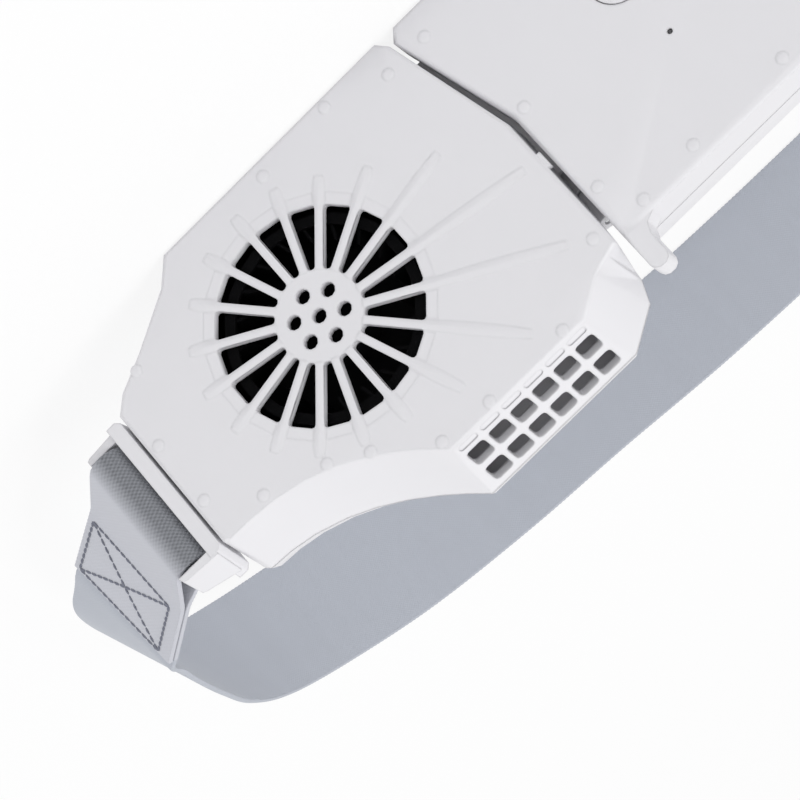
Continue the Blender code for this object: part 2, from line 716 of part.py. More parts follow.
def fan_rear_cover():
    ridge = fan_outline(True)
    start = FAN_PARTING + CLEARANCE
    middle = (start + FAN_DEPTH) / 2
    body = layers((ridge, start), (shrink(ridge, REAR_ROUNDING * 0.2), middle),
                  (shrink(ridge, REAR_ROUNDING), FAN_DEPTH))
    piece = make("right_fan_rear_cover", [body])
    hollow = fan_cavity(ridge)
    cut(piece, layers((hollow, start - SHELL_OVERRUN), (shrink(hollow, REAR_ROUNDING * 0.2), middle),
                      (shrink(hollow, REAR_ROUNDING * 0.8), FAN_DEPTH - WALL)))
    inner = FAN_DEPTH - WALL / 2
    posts = [rod("Y", (x, 0, z), POST_RADIUS, start, inner, HIDDEN_SIDES) for x, z in fan_posts()]
    boss_front = scroll_back() + CLEARANCE
    boss = rod("Y", (INTAKE_X, 0, INTAKE_HEIGHT), MOTOR_BOSS_RADIUS, boss_front, inner, 16)
    join(piece, boss, *posts)
    head_floor = FAN_DEPTH - SCREW_HEAD_HEIGHT - CLEARANCE
    cut(piece, *[screw_hole(x, z, start - SHELL_OVERRUN, FAN_DEPTH + SHELL_OVERRUN, head_floor)
                 for x, z in fan_posts()])
    hinge = (HINGE_X, HINGE_DEPTH, 0)
    bottom, top = HINGE_BOTTOM - HINGE_MARGIN, HINGE_TOP + HINGE_MARGIN
    cut(piece, rod("Z", hinge, HINGE_RADIUS + HINGE_MARGIN, bottom, top))
    web_end, web_back = FAN_X + HINGE_WALL * 0.7, HINGE_DEPTH + HINGE_RADIUS * 0.7
    for low, high in fan_knuckles():
        join(piece, box(HINGE_X, web_end, start, web_back, low, high))
        join(piece, rod("Z", hinge, HINGE_RADIUS, low, high))
    cut(piece, rod("Z", hinge, PIN_HOLE_RADIUS, bottom, top, 12))
    return piece


def fan_knuckles():
    third = (HINGE_TOP - HINGE_BOTTOM) / 3
    return ((HINGE_BOTTOM, HINGE_BOTTOM + third - CLEARANCE), (HINGE_TOP - third + CLEARANCE, HINGE_TOP))


def centre_knuckle():
    third = (HINGE_TOP - HINGE_BOTTOM) / 3
    return HINGE_BOTTOM + third + CLEARANCE, HINGE_TOP - third - CLEARANCE


def scroll_front():
    return FRONT_WALL + CLEARANCE


def plate_front():
    return IMPELLER_BACK + CLEARANCE + STATOR_FLANGE + CLEARANCE


def scroll_back():
    return plate_front() + SCROLL_PLATE


def scroll_radius(angle):
    """The scroll wall's middle, from the intake's middle, in a direction given in degrees."""
    share = (SCROLL_START - angle) / SCROLL_SWEEP
    return IMPELLER_RADIUS + SCROLL_GAP + SCROLL_WALL / 2 + SCROLL_GROWTH * share


def fan_posts():
    """Places of the four posts for the module's screws. Two share the room beside the blower."""
    places = []
    for angle, share in BLOWER_POSTS:
        direction = math.radians(angle)
        blower = scroll_radius(angle) + SCROLL_WALL / 2
        end = (FAN_END_X - INTAKE_X) / math.cos(direction)
        places.append(on_intake(blower + share * (end - blower), direction))
    hinge_side_places = [(FAN_X + u, z) for u, z in HINGE_SIDE_POSTS]
    return hinge_side_places[:1] + places + hinge_side_places[1:]


def scroll_path():
    """The scroll wall seen from the front: outlet, tongue, once round the impeller, outlet."""
    points = [(FAN_X + SNOUT_START + SNOUT_LENGTH - 2 * WALL, SCROLL_TOP)]
    for i in range(SCROLL_STEPS + 1):
        angle = SCROLL_START - SCROLL_SWEEP * i / SCROLL_STEPS
        points.append(on_intake(scroll_radius(angle), math.radians(angle)))
    points.append((FAN_X + SNOUT_START + 2 * WALL, SCROLL_TOP))
    return points


def offset_path(points, distance):
    """The path moved to one side by a distance."""
    moved = []
    for i, point in enumerate(points):
        before = Vector(points[max(i - 1, 0)])
        after = Vector(points[min(i + 1, len(points) - 1)])
        direction = (after - before).normalized()
        moved.append((point[0] - direction.y * distance, point[1] + direction.x * distance))
    return moved


def blower_scroll():
    path = scroll_path()
    outer = offset_path(path, SCROLL_WALL / 2)
    inner = offset_path(path, -SCROLL_WALL / 2)
    wall = through(outer + inner[::-1], scroll_front(), scroll_back())
    piece = make("right_blower_scroll", [wall], SCROLL_GREY)
    join(piece, through(path, plate_front(), scroll_back()))
    cut(piece, rod("Y", (INTAKE_X, 0, INTAKE_HEIGHT), SHAFT_RADIUS + LEAD_RADIUS, 0.0, FAN_DEPTH, 12))
    return piece


def blade(index):
    """One forward-leaning blade of the impeller cage."""
    angle = 2 * math.pi * (index + BLADE_PHASE) / BLADE_COUNT
    lean = math.radians(BLADE_LEAN)
    outer_radius = IMPELLER_RADIUS - IMPELLER_PLATE / 2
    rings = []
    for depth in (IMPELLER_FRONT + IMPELLER_PLATE / 2, IMPELLER_BACK - IMPELLER_PLATE / 2):
        ring = []
        for reach, side in ((0.0, -0.5), (1.0, -0.5), (1.0, 0.5), (0.0, 0.5)):
            radius = outer_radius - BLADE_DEPTH * (1 - reach)
            twist = angle + lean * BLADE_DEPTH * reach / outer_radius + side * BLADE_THICKNESS / radius
            x, z = on_intake(radius, twist)
            ring.append((x, depth, z))
        rings.append(ring)
    return loft(rings)


def impeller():
    centre = (INTAKE_X, 0, INTAKE_HEIGHT)
    inner = ROTOR_RADIUS - ROTOR_WALL
    plate_start = IMPELLER_BACK - IMPELLER_PLATE
    profile = [(inner, ROTOR_FRONT), (ROTOR_RADIUS, ROTOR_FRONT + ROTOR_WALL), (ROTOR_RADIUS, plate_start),
               (IMPELLER_RADIUS, plate_start), (IMPELLER_RADIUS, IMPELLER_BACK)]
    piece = make("right_impeller", [turned("Y", centre, profile, 28)], BLACK)
    cut(piece, rod("Y", centre, inner, ROTOR_FRONT + ROTOR_WALL, IMPELLER_BACK + SHELL_OVERRUN, 24))
    join(piece, *[blade(i) for i in range(BLADE_COUNT)])
    ring_inner = IMPELLER_RADIUS - IMPELLER_RING_WIDTH
    back = IMPELLER_FRONT + IMPELLER_PLATE
    ring = [(ring_inner, IMPELLER_FRONT), (IMPELLER_RADIUS, IMPELLER_FRONT), (IMPELLER_RADIUS, back),
            (ring_inner, back)]
    join(piece, turned_ring("Y", centre, ring, 28))
    return piece


def motor_pieces():
    centre = (INTAKE_X, 0, INTAKE_HEIGHT)
    front = ROTOR_FRONT + ROTOR_WALL + 3 * CLEARANCE
    flange = IMPELLER_BACK + CLEARANCE
    back = flange + STATOR_FLANGE
    bearing_start = front + CLEARANCE
    bearing_end = bearing_start + BEARING_LENGTH
    shaft_hole = SHAFT_RADIUS + CLEARANCE
    bore = BEARING_RADIUS + CLEARANCE
    bore_end = bearing_end + CLEARANCE
    stator_profile = [(bore, front), (STATOR_RADIUS, front), (STATOR_RADIUS, flange),
                      (STATOR_FLANGE_RADIUS, flange), (STATOR_FLANGE_RADIUS, back), (shaft_hole, back),
                      (shaft_hole, bore_end), (bore, bore_end)]
    stator = make("right_motor_stator", [turned_ring("Y", centre, stator_profile, 24)], COPPER)
    bearing_profile = [(shaft_hole, bearing_start), (BEARING_RADIUS, bearing_start),
                       (BEARING_RADIUS, bearing_end), (shaft_hole, bearing_end)]
    bearing = make("right_motor_bearing", [turned_ring("Y", centre, bearing_profile, 20)], STEEL)
    shaft_start = ROTOR_FRONT + ROTOR_WALL + CLEARANCE
    shaft_rod = rod("Y", centre, SHAFT_RADIUS, shaft_start, back - CLEARANCE)
    shaft = make("right_motor_shaft", [shaft_rod], STEEL)
    return stator, bearing, shaft


def motor_lead():
    """The lead from the motor to the hinge side, laid behind the scroll plate."""
    depth = scroll_back() + CLEARANCE + 2 * LEAD_RADIUS
    start_x = INTAKE_X - MOTOR_BOSS_RADIUS - CLEARANCE
    end_x = FAN_X + HINGE_WALL + 2 * LEAD_RADIUS
    rise = (HINGE_BOTTOM + HINGE_TOP) / 2 - INTAKE_HEIGHT
    rings = []
    steps = 12
    for i in range(steps + 1):
        share = i / steps
        ease = share * share * (3 - 2 * share)
        x = start_x + (end_x - start_x) * share
        z = INTAKE_HEIGHT + rise * ease
        rings.append([(x, depth + LEAD_RADIUS * math.cos(a), z + LEAD_RADIUS * math.sin(a))
                      for a in (math.radians(45 * k) for k in range(8))])
    return make("right_motor_lead", [loft(rings)], LEAD_SLEEVE)


def screw(name, x, z, back):
    """A pan-head screw driven from the back."""
    head_back = back - CLEARANCE
    head_front = head_back - SCREW_HEAD_HEIGHT
    profile = [(SCREW_RADIUS * 0.5, SCREW_TIP), (SCREW_RADIUS, SCREW_TIP + SCREW_RADIUS),
               (SCREW_RADIUS, head_front), (SCREW_HEAD_RADIUS, head_front),
               (SCREW_HEAD_RADIUS, head_back - CLEARANCE), (SCREW_HEAD_RADIUS * 0.7, head_back)]
    return make(name, [turned("Y", (x, 0, z), profile, HIDDEN_SIDES)], STEEL)


# Centre module pieces

def ear(side):
    """The raised post at the module's upper corner, with a fillet down to the top face."""
    edge = CENTRE_HALF
    inner = edge - EAR_WIDTH
    crown = CENTRE_HEIGHT + EAR_RISE
    outline = [(inner - EAR_FILLET, CENTRE_HEIGHT - WALL / 2), (edge, CENTRE_HEIGHT - 2 * WALL),
               (edge, crown - EAR_WIDTH * 0.35), (edge - EAR_WIDTH * 0.12, crown - EAR_WIDTH * 0.12),
               (edge - EAR_WIDTH * 0.35, crown), (edge - EAR_WIDTH * 0.65, crown),
               (edge - EAR_WIDTH * 0.88, crown - EAR_WIDTH * 0.12), (inner, crown - EAR_WIDTH * 0.35),
               (inner, CENTRE_HEIGHT + EAR_FILLET),
               (inner - EAR_FILLET * 0.3, CENTRE_HEIGHT + EAR_FILLET * 0.3),
               (inner - EAR_FILLET, CENTRE_HEIGHT)]
    if side < 0:
        outline = [(-x, z) for x, z in reversed(outline)]
    return through(outline, EDGE_CHAMFER, EDGE_CHAMFER + EAR_DEPTH)


def centre_hollow():
    return centre_outline(CENTRE_HALF - HINGE_WALL, FOOT_HALF - HINGE_WALL, WALL, CENTRE_HEIGHT - WALL)


def centre_front_shell():
    outline = centre_outline(CENTRE_HALF, FOOT_HALF, 0.0, CENTRE_HEIGHT)
    body = layers((shrink(outline, EDGE_CHAMFER), 0.0), (outline, EDGE_CHAMFER), (outline, CENTRE_PARTING))
    piece = make("centre_front_shell", [body])
    join(piece, ear(1), ear(-1))
    hollow_depth = CENTRE_PARTING + SHELL_OVERRUN
    cut(piece, through(centre_hollow(), FRONT_WALL, hollow_depth))
    places = [(side * x, z) for side in (1, -1) for x, z in CENTRE_POSTS]
    posts = [rod("Y", (x, 0, z), POST_RADIUS, FRONT_WALL / 2, CENTRE_PARTING, HIDDEN_SIDES)
             for x, z in places]
    standoff_x = BOARD_WIDTH / 2 - 2 * STANDOFF_RADIUS
    for side in (1, -1):
        for z in (BOARD_BOTTOM + 6 * STANDOFF_RADIUS, BOARD_TOP - 2 * STANDOFF_RADIUS):
            posts.append(rod("Y", (side * standoff_x, 0, z), STANDOFF_RADIUS, FRONT_WALL / 2,
                             BOARD_FRONT - CLEARANCE, HIDDEN_SIDES))
    join(piece, *posts)
    pilot_end = SCREW_TIP - 2 * CLEARANCE
    cut(piece, *[rod("Y", (x, 0, z), SCREW_HOLE_RADIUS, pilot_end, hollow_depth, HIDDEN_SIDES)
                 for x, z in places])
    through_wall = FRONT_WALL + SHELL_OVERRUN
    port_middle = BOARD_FRONT + BOARD_THICKNESS + CLEARANCE + PORT_THICKNESS / 2
    port_half = PORT_WIDTH / 2 + CLEARANCE
    cut(piece,
        rod("Y", (0, 0, BUTTON_HEIGHT), BUTTON_RADIUS + CLEARANCE, -SHELL_OVERRUN, through_wall, 32),
        rod("Y", (0, 0, LED_HEIGHT), LED_RADIUS + CLEARANCE, -SHELL_OVERRUN, through_wall, 12),
        box(-port_half, port_half, port_middle - PORT_THICKNESS / 2 - CLEARANCE,
            port_middle + PORT_THICKNESS / 2 + CLEARANCE, -SHELL_OVERRUN, WALL + SHELL_OVERRUN))
    join(piece, *[rivet(side * x, z) for side in (1, -1) for x, z in CENTRE_RIVETS])
    return piece


def centre_rear_shell():
    outline = centre_outline(CENTRE_HALF, FOOT_HALF, 0.0, CENTRE_HEIGHT)
    start = CENTRE_PARTING + CLEARANCE
    middle = (start + CENTRE_DEPTH) / 2
    rounding = REAR_ROUNDING
    body = layers((outline, start), (shrink(outline, rounding * 0.1), middle),
                  (shrink(outline, rounding * 0.4), CENTRE_DEPTH - WALL),
                  (shrink(outline, rounding), CENTRE_DEPTH))
    piece = make("centre_rear_shell", [body])
    hollow = centre_hollow()
    cut(piece, layers((hollow, start - SHELL_OVERRUN), (shrink(hollow, rounding * 0.1), middle),
                      (shrink(hollow, rounding * 0.4), CENTRE_DEPTH - WALL)))
    places = [(side * x, z) for side in (1, -1) for x, z in CENTRE_POSTS]
    inner = CENTRE_DEPTH - WALL / 2
    join(piece, *[rod("Y", (x, 0, z), POST_RADIUS, start, inner, HIDDEN_SIDES) for x, z in places])
    front, back = start - SHELL_OVERRUN, CENTRE_DEPTH + SHELL_OVERRUN
    head_floor = CENTRE_DEPTH - SCREW_HEAD_HEIGHT - CLEARANCE
    cut(piece, *[screw_hole(x, z, front, back, head_floor) for x, z in places])
    groove = seam_strip(SEAM_GAP + GROOVE_DEPTH, CLEARANCE, CENTRE_PARTING, GROOVE_BACK,
                        TOE_HEIGHT + WALL, LIP_TOP + WALL)
    cut(piece, groove)
    cut(piece, ([(-x, y, z) for x, y, z in groove[0]], groove[1]))
    bottom, top = HINGE_BOTTOM - HINGE_MARGIN, HINGE_TOP + HINGE_MARGIN
    for side in (1, -1):
        hinge = (side * HINGE_X, HINGE_DEPTH, 0)
        cut(piece, rod("Z", hinge, HINGE_RADIUS + HINGE_MARGIN, bottom, top))
        low, high = centre_knuckle()
        inner_x = side * (CENTRE_HALF - HINGE_WALL * 0.7)
        web_front, web_back = HINGE_DEPTH - HINGE_RADIUS * 0.7, HINGE_DEPTH + HINGE_RADIUS * 0.5
        join(piece, box(min(inner_x, hinge[0]), max(inner_x, hinge[0]), web_front, web_back, low, high))
        join(piece, rod("Z", hinge, HINGE_RADIUS, low, high))
        cut(piece, rod("Z", hinge, PIN_HOLE_RADIUS, low - CLEARANCE, high + CLEARANCE, 12))
    return piece


def inner_pieces():
    """Cells, board, switch, socket, lamp and the sliding button."""
    depth = CENTRE_DEPTH - WALL - CLEARANCE - CELL_RADIUS
    pieces = []
    for i in range(CELL_COUNT):
        x = (i - (CELL_COUNT - 1) / 2) * CELL_PITCH
        cell = rod("Z", (x, depth, 0), CELL_RADIUS, CELL_BOTTOM, CELL_BOTTOM + CELL_LENGTH, 20)
        pieces.append(make(f"battery_cell_{i + 1}", [cell], CELL_WRAP))
    half = BOARD_WIDTH / 2
    board_back = BOARD_FRONT + BOARD_THICKNESS
    board = box(-half, half, BOARD_FRONT, board_back, BOARD_BOTTOM, BOARD_TOP)
    pieces.append(make("control_board", [board], BOARD_GREEN))
    half = SWITCH_HALF_WIDTH
    switch_back = BOARD_FRONT - CLEARANCE
    switch = box(-half, half, switch_back - SWITCH_THICKNESS, switch_back, BUTTON_HEIGHT - half,
                 BUTTON_HEIGHT + half)
    pieces.append(make("button_switch", [switch], BLACK))
    pieces.append(charging_port(board_back + CLEARANCE))
    flange_front = FRONT_WALL + CLEARANCE
    lens = [(LED_RADIUS, CLEARANCE), (LED_RADIUS, flange_front), (3 * LED_RADIUS, flange_front),
            (3 * LED_RADIUS, switch_back)]
    pieces.append(make("status_lamp", [turned("Y", (0, 0, LED_HEIGHT), lens, 12)], LENS_DARK))
    crown = -BUTTON_PROUD
    flange = BUTTON_RADIUS + BUTTON_FLANGE
    profile = [(BUTTON_RADIUS * 0.90, crown), (BUTTON_RADIUS, crown + BUTTON_RADIUS * 0.05),
               (BUTTON_RADIUS, flange_front), (flange, flange_front),
               (flange, flange_front + BUTTON_FLANGE_THICKNESS)]
    button = make("power_button", [turned("Y", (0, 0, BUTTON_HEIGHT), profile, 32)], BUTTON_WHITE)
    return pieces, button


def charging_port(front):
    """The metal sleeve of the charging socket, open below."""
    half = PORT_WIDTH / 2
    back = front + PORT_THICKNESS
    top = PORT_WALL + PORT_LENGTH
    port = make("charging_port", [box(-half, half, front, back, PORT_WALL, top)], STEEL)
    cut(port, box(-half + PORT_WALL, half - PORT_WALL, front + PORT_WALL, back - PORT_WALL, -SHELL_OVERRUN,
                  top - 2 * PORT_WALL))
    return port


# Belt loop at the end of a fan module

def loop_plate_outline(top):
    corner = CORNER_CUT
    plate_end = LOOP_X + LOOP_PLATE
    return [(LOOP_X + corner, LOOP_BOTTOM), (plate_end, LOOP_BOTTOM), (plate_end, top),
            (LOOP_X + corner, top), (LOOP_X, top - corner), (LOOP_X, LOOP_BOTTOM + corner)]


def upper_arm_outline(root_top, end_top):
    """The arm over the webbing, which slopes down from the plate to a rounded end."""
    root = LOOP_X + LOOP_PLATE / 2
    reach = LOOP_X + LOOP_PLATE + ARM_LENGTH
    rounding = ARM_ROUNDING
    slot_top = LOOP_WEBBING_CENTRE + SLOT_HALF
    return [(root, slot_top), (reach, slot_top), (reach, end_top - rounding),
            (reach - 0.3 * rounding, end_top - 0.3 * rounding), (reach - rounding, end_top), (root, root_top)]


def lower_arm_outline():
    """The arm under the webbing, with a rising underside."""
    root = LOOP_X + LOOP_PLATE / 2
    reach = LOOP_X + LOOP_PLATE + LOWER_ARM_LENGTH
    slot_bottom = LOOP_WEBBING_CENTRE - SLOT_HALF
    return [(root, LOOP_BOTTOM + CLEARANCE), (reach - ARM_ROUNDING / 2, slot_bottom - 2 * BAR_SEAT),
            (reach, slot_bottom - 1.5 * BAR_SEAT), (reach, slot_bottom), (root, slot_bottom)]


def loop_frame():
    back = LOOP_HINGE_DEPTH
    plate = layers((loop_plate_outline(LOOP_FACE_TOP), LOOP_FRONT), (loop_plate_outline(LOOP_TOP), back))
    piece = make("right_loop_frame", [plate])
    arm_front = LOOP_FRONT + CLEARANCE
    arm_back = arm_front + ARM_DEPTH
    front_outline = upper_arm_outline(LOOP_FACE_TOP + 2 * CLEARANCE, ARM_FACE_END_TOP)
    back_outline = upper_arm_outline(LOOP_TOP - CLEARANCE, ARM_END_TOP)
    join(piece, layers((front_outline, arm_front), (back_outline, arm_back)))
    join(piece, through(lower_arm_outline(), arm_front + LOWER_ARM_RECESS, arm_back))
    seat = SLOT_HALF + BAR_SEAT
    bar = (BAR_X, BAR_DEPTH, LOOP_WEBBING_CENTRE)
    cut(piece, rod("Z", bar, BAR_END_RADIUS + CLEARANCE, -seat, seat, 14))
    hinge = (LOOP_HINGE_X, LOOP_HINGE_DEPTH, 0)
    low, inner_low, inner_high, high = LOOP_KNUCKLES
    join(piece, rod("Z", hinge, LOOP_HINGE_RADIUS, low, high))
    cut(piece, rod("Z", hinge, LOOP_HINGE_RADIUS + HINGE_MARGIN, inner_low, inner_high))
    cut(piece, rod("Z", hinge, PIN_HOLE_RADIUS, low - CLEARANCE, high + CLEARANCE, 12))
    return piece


def loop_hardware():
    """The roller that the webbing turns round, and the hinge pin."""
    end = SLOT_HALF + BAR_SEAT - CLEARANCE
    shoulder = SLOT_HALF - CLEARANCE
    profile = [(BAR_END_RADIUS, -end), (BAR_END_RADIUS, -shoulder), (BAR_RADIUS, -shoulder),
               (BAR_RADIUS, shoulder), (BAR_END_RADIUS, shoulder), (BAR_END_RADIUS, end)]
    bar = make("right_loop_bar", [turned("Z", (BAR_X, BAR_DEPTH, LOOP_WEBBING_CENTRE), profile, 14)], STEEL)
    low, high = LOOP_KNUCKLES[0] + CLEARANCE, LOOP_KNUCKLES[3] - CLEARANCE
    pin_rod = rod("Z", (LOOP_HINGE_X, LOOP_HINGE_DEPTH, 0), PIN_RADIUS, low, high, 12)
    return bar, make("right_loop_pin", [pin_rod], STEEL)


# Webbing

def teardrop(centre, direction, radius, length, half_tail, sides=10):
    """A loop round a bar that closes into a straight tail, as an outline of (x, y) points."""
    heading = math.atan2(direction.y, direction.x)
    points = []
    for i in range(sides + 1):
        angle = heading + math.radians(TURN_LEAVES + (360 - 2 * TURN_LEAVES) * i / sides)
        points.append((centre[0] + radius * math.cos(angle), centre[1] + radius * math.sin(angle)))
    side = Vector((-direction.y, direction.x))
    meet = length * LAYERS_MEET
    for along, across in ((meet, -half_tail), (length, -half_tail), (length, half_tail), (meet, half_tail)):
        point = Vector(centre) + direction * along + side * across
        points.append(tuple(point))
    return points


def wrapped_end(name, centre, direction, bar_radius, length, bottom):
    """Webbing turned round a bar and stitched back on itself."""
    inner = bar_radius + CLEARANCE
    outer = inner + WEBBING_THICKNESS
    outside = teardrop(centre, direction, outer, length, WEBBING_THICKNESS + CLEARANCE / 2)
    inside = teardrop(centre, direction, inner, length, CLEARANCE)[:-4]
    tip = Vector(centre) + direction * length * HOLLOW_ENDS
    piece = make(name, [upright(outside, bottom, bottom + WEBBING_WIDTH)], WEBBING)
    cut(piece, upright(inside + [tuple(tip)], bottom - CLEARANCE, bottom + WEBBING_WIDTH + CLEARANCE))
    return piece


def smooth_path(points, step):
    """Points about a step apart on a smooth curve through the given points."""
    knots = [Vector(p) for p in points]
    result = []
    for i in range(len(knots) - 1):
        before = knots[max(i - 1, 0)]
        start, end = knots[i], knots[i + 1]
        after = knots[min(i + 2, len(knots) - 1)]
        count = max(1, round((end - start).length / step))
        for k in range(count):
            t = k / count
            square = 2 * before - 5 * start + 4 * end - after
            cube = 3 * start - before - 3 * end + after
            result.append(0.5 * (2 * start + (end - before) * t + square * t ** 2 + cube * t ** 3))
    result.append(knots[-1])
    return result


def ribbon(name, path, side):
    """Webbing along a path of upper-edge points: across, back, height and lean."""
    rings = []
    for i, point in enumerate(path):
        ahead = path[min(i + 1, len(path) - 1)] - path[max(i - 1, 0)]
        out = Vector((ahead[1], -ahead[0])).normalized()
        across, back, top, lean = point
        drop = math.sqrt(WEBBING_WIDTH ** 2 - lean ** 2)
        half = out * WEBBING_THICKNESS / 2
        upper = Vector((across, back))
        lower = upper + out * lean
        low = top - drop
        ring = [(upper + half, top), (lower + half, low), (lower - half, low), (upper - half, top)]
        rings.append([(side * place.x, place.y, height) for place, height in ring])
    return make(name, [loft(rings)], WEBBING)


def stitched_start():
    """The bar centre and the way the stitched webbing leads away from it."""
    target = Vector((RIGHT_BELT[0][0] - 0.0037, RIGHT_BELT[0][1] - 0.0160))
    centre = Vector((BAR_X, BAR_DEPTH))
    return centre, (target - centre).normalized()


def rear_edge():
    """The upper edge of the rear webbing at its side end."""
    return (REAR_HALF_LENGTH, REAR_BELT_SIDE, WEBBING_WIDTH, 0.0)


def belt_pieces():
    bottom = LOOP_WEBBING_CENTRE - WEBBING_HALF
    centre, direction = stitched_start()
    right_end = wrapped_end("belt_right_end", centre, direction, BAR_RADIUS, STITCHED_LENGTH, bottom)
    start = centre + direction * (STITCHED_LENGTH + CLEARANCE)
    first = (start.x, start.y, bottom + WEBBING_WIDTH, 0.0020)
    path = smooth_path((first,) + RIGHT_BELT + (rear_edge(),), BELT_STEP)
    right_side = ribbon("belt_right_side", path, 1)
    rear_path = []
    for i in range(REAR_STEPS + 1):
        across = (REAR_HALF_LENGTH - CLEARANCE) * (1 - 2 * i / REAR_STEPS)
        bow = (REAR_BELT_BACK - REAR_BELT_SIDE) * (across / REAR_HALF_LENGTH) ** 2
        rear_path.append(Vector((across, REAR_BELT_BACK - bow, WEBBING_WIDTH, 0.0)))
    rear = ribbon("belt_rear", rear_path, 1)
    adjuster_end = plug_bar_back() + ADJUSTER_LENGTH
    left_first = (BUCKLE_OUT, adjuster_end + CLEARANCE, bottom + WEBBING_WIDTH, 0.0)
    left_path = smooth_path((left_first,) + LEFT_BELT + (rear_edge(),), BELT_STEP)
    left_side = ribbon("belt_left_side", left_path, -1)
    return right_end, right_side, rear, left_side


def left_belt_ends():
    """The short strap from the left loop to the buckle, and the doubled strap behind it."""
    bottom = LOOP_WEBBING_CENTRE - WEBBING_HALF
    start = Vector((-BAR_X, BAR_DEPTH))
    end = Vector((-BUCKLE_OUT, BUCKLE_FRONT + BUCKLE_BAR_RADIUS))
    direction = (end - start).normalized()
    length = (end - start).length
    half = WEBBING_THICKNESS + CLEARANCE / 2
    near_turn = BAR_RADIUS + CLEARANCE + WEBBING_THICKNESS
    far_turn = BUCKLE_BAR_RADIUS + CLEARANCE + WEBBING_THICKNESS
    near = teardrop(start, direction, near_turn, length * STRAP_NEAR_SHARE, half)
    far = teardrop(end, -direction, far_turn, length * STRAP_FAR_SHARE, half * STRAP_LAYER_TRIM)
    short = make("belt_left_end", [upright(near, bottom, bottom + WEBBING_WIDTH)], WEBBING)
    join(short, upright(far, bottom, bottom + WEBBING_WIDTH))
    top = bottom + WEBBING_WIDTH + CLEARANCE
    for centre, way, radius in ((start, direction, BAR_RADIUS), (end, -direction, BUCKLE_BAR_RADIUS)):
        inside = teardrop(centre, way, radius + CLEARANCE, length * STRAP_NEAR_SHARE, CLEARANCE)[:-4]
        tip = centre + way * length * STRAP_HOLLOW_ENDS
        cut(short, upright(inside + [tuple(tip)], bottom - CLEARANCE, top))
    bar = (-BUCKLE_OUT, plug_bar_back() - BUCKLE_BAR_RADIUS)
    doubled = wrapped_end("belt_left_adjuster", bar, Vector((0, 1)), BUCKLE_BAR_RADIUS,
                          ADJUSTER_LENGTH + BUCKLE_BAR_RADIUS, bottom)
    return short, doubled


# Side release buckle

def plug_front():
    return BUCKLE_FRONT + SOCKET_LENGTH + CLEARANCE


def plug_bar_back():
    return plug_front() + PLUG_LENGTH


def buckle_socket():
    """The half that the plug pushes into, hung on the short strap."""
    middle = LOOP_WEBBING_CENTRE
    half = BUCKLE_THICKNESS / 2
    x = -BUCKLE_OUT
    start = BUCKLE_FRONT
    end = start + SOCKET_LENGTH
    low, high = middle - BUCKLE_HALF_HEIGHT, middle + BUCKLE_HALF_HEIGHT
    near = start - BUCKLE_BAR_RADIUS
    outline = rounded([(near, low), (end, low), (end, high), (near, high)], SOCKET_CORNER)
    body = loft([[(x + out, y, z) for y, z in outline] for out in (-half, half)])
    piece = make("buckle_socket", [body], BUCKLE_GREY)
    slot_end = start + 2 * BUCKLE_BAR_RADIUS + BUCKLE_SLOT
    rail = BUCKLE_HALF_HEIGHT - BUCKLE_RAIL
    slot_half = half + SHELL_OVERRUN
    slot_start = start - 2 * BUCKLE_SLOT
    cut(piece, box(x - slot_half, x + slot_half, slot_start, slot_end, middle - rail, middle + rail))
    reach = rail + BUCKLE_RAIL / 2
    join(piece, rod("Z", (x, start + BUCKLE_BAR_RADIUS, middle), BUCKLE_BAR_RADIUS, -reach, reach, 12))
    thin = SOCKET_HALF_THICKNESS
    cavity = box(x - thin, x + thin, slot_end + SOCKET_FLOOR, end + SHELL_OVERRUN,
                 middle - SOCKET_HALF_HEIGHT, middle + SOCKET_HALF_HEIGHT)
    window = box(x - thin, x + thin, start + WINDOW_START, start + WINDOW_START + WINDOW_LENGTH,
                 low - SHELL_OVERRUN, high + SHELL_OVERRUN)
    cut(piece, cavity)
    cut(piece, window)
    return piece


def buckle_plug():
    """The half with the tongue, which carries the two press arms."""
    middle = LOOP_WEBBING_CENTRE
    x = -BUCKLE_OUT
    half = BUCKLE_THICKNESS / 2 * 0.8
    front, back = plug_front(), plug_bar_back()
    low, high = middle - BUCKLE_HALF_HEIGHT, middle + BUCKLE_HALF_HEIGHT
    far = back + BUCKLE_BAR_RADIUS
    outline = rounded([(front, low), (far, low), (far, high), (front, high)], PLUG_CORNER)
    body = loft([[(x + out, y, z) for y, z in outline] for out in (-half, half)])
    piece = make("buckle_plug", [body], BUCKLE_GREY)
    rail = BUCKLE_HALF_HEIGHT - BUCKLE_RAIL
    slot_start = back - 2 * BUCKLE_BAR_RADIUS - BUCKLE_SLOT
    slot_half = half + SHELL_OVERRUN
    slot_end = back + 2 * BUCKLE_SLOT
    cut(piece, box(x - slot_half, x + slot_half, slot_start, slot_end, middle - rail, middle + rail))
    reach = rail + BUCKLE_RAIL / 2
    join(piece, rod("Z", (x, back - BUCKLE_BAR_RADIUS, middle), BUCKLE_BAR_RADIUS, -reach, reach, 12))
    thin = PLUG_HALF_THICKNESS
    join(piece, box(x - thin, x + thin, front - TONGUE_LENGTH, front + BUCKLE_BAR_RADIUS,
                    middle - TONGUE_HALF_WIDTH, middle + TONGUE_HALF_WIDTH))
    return piece


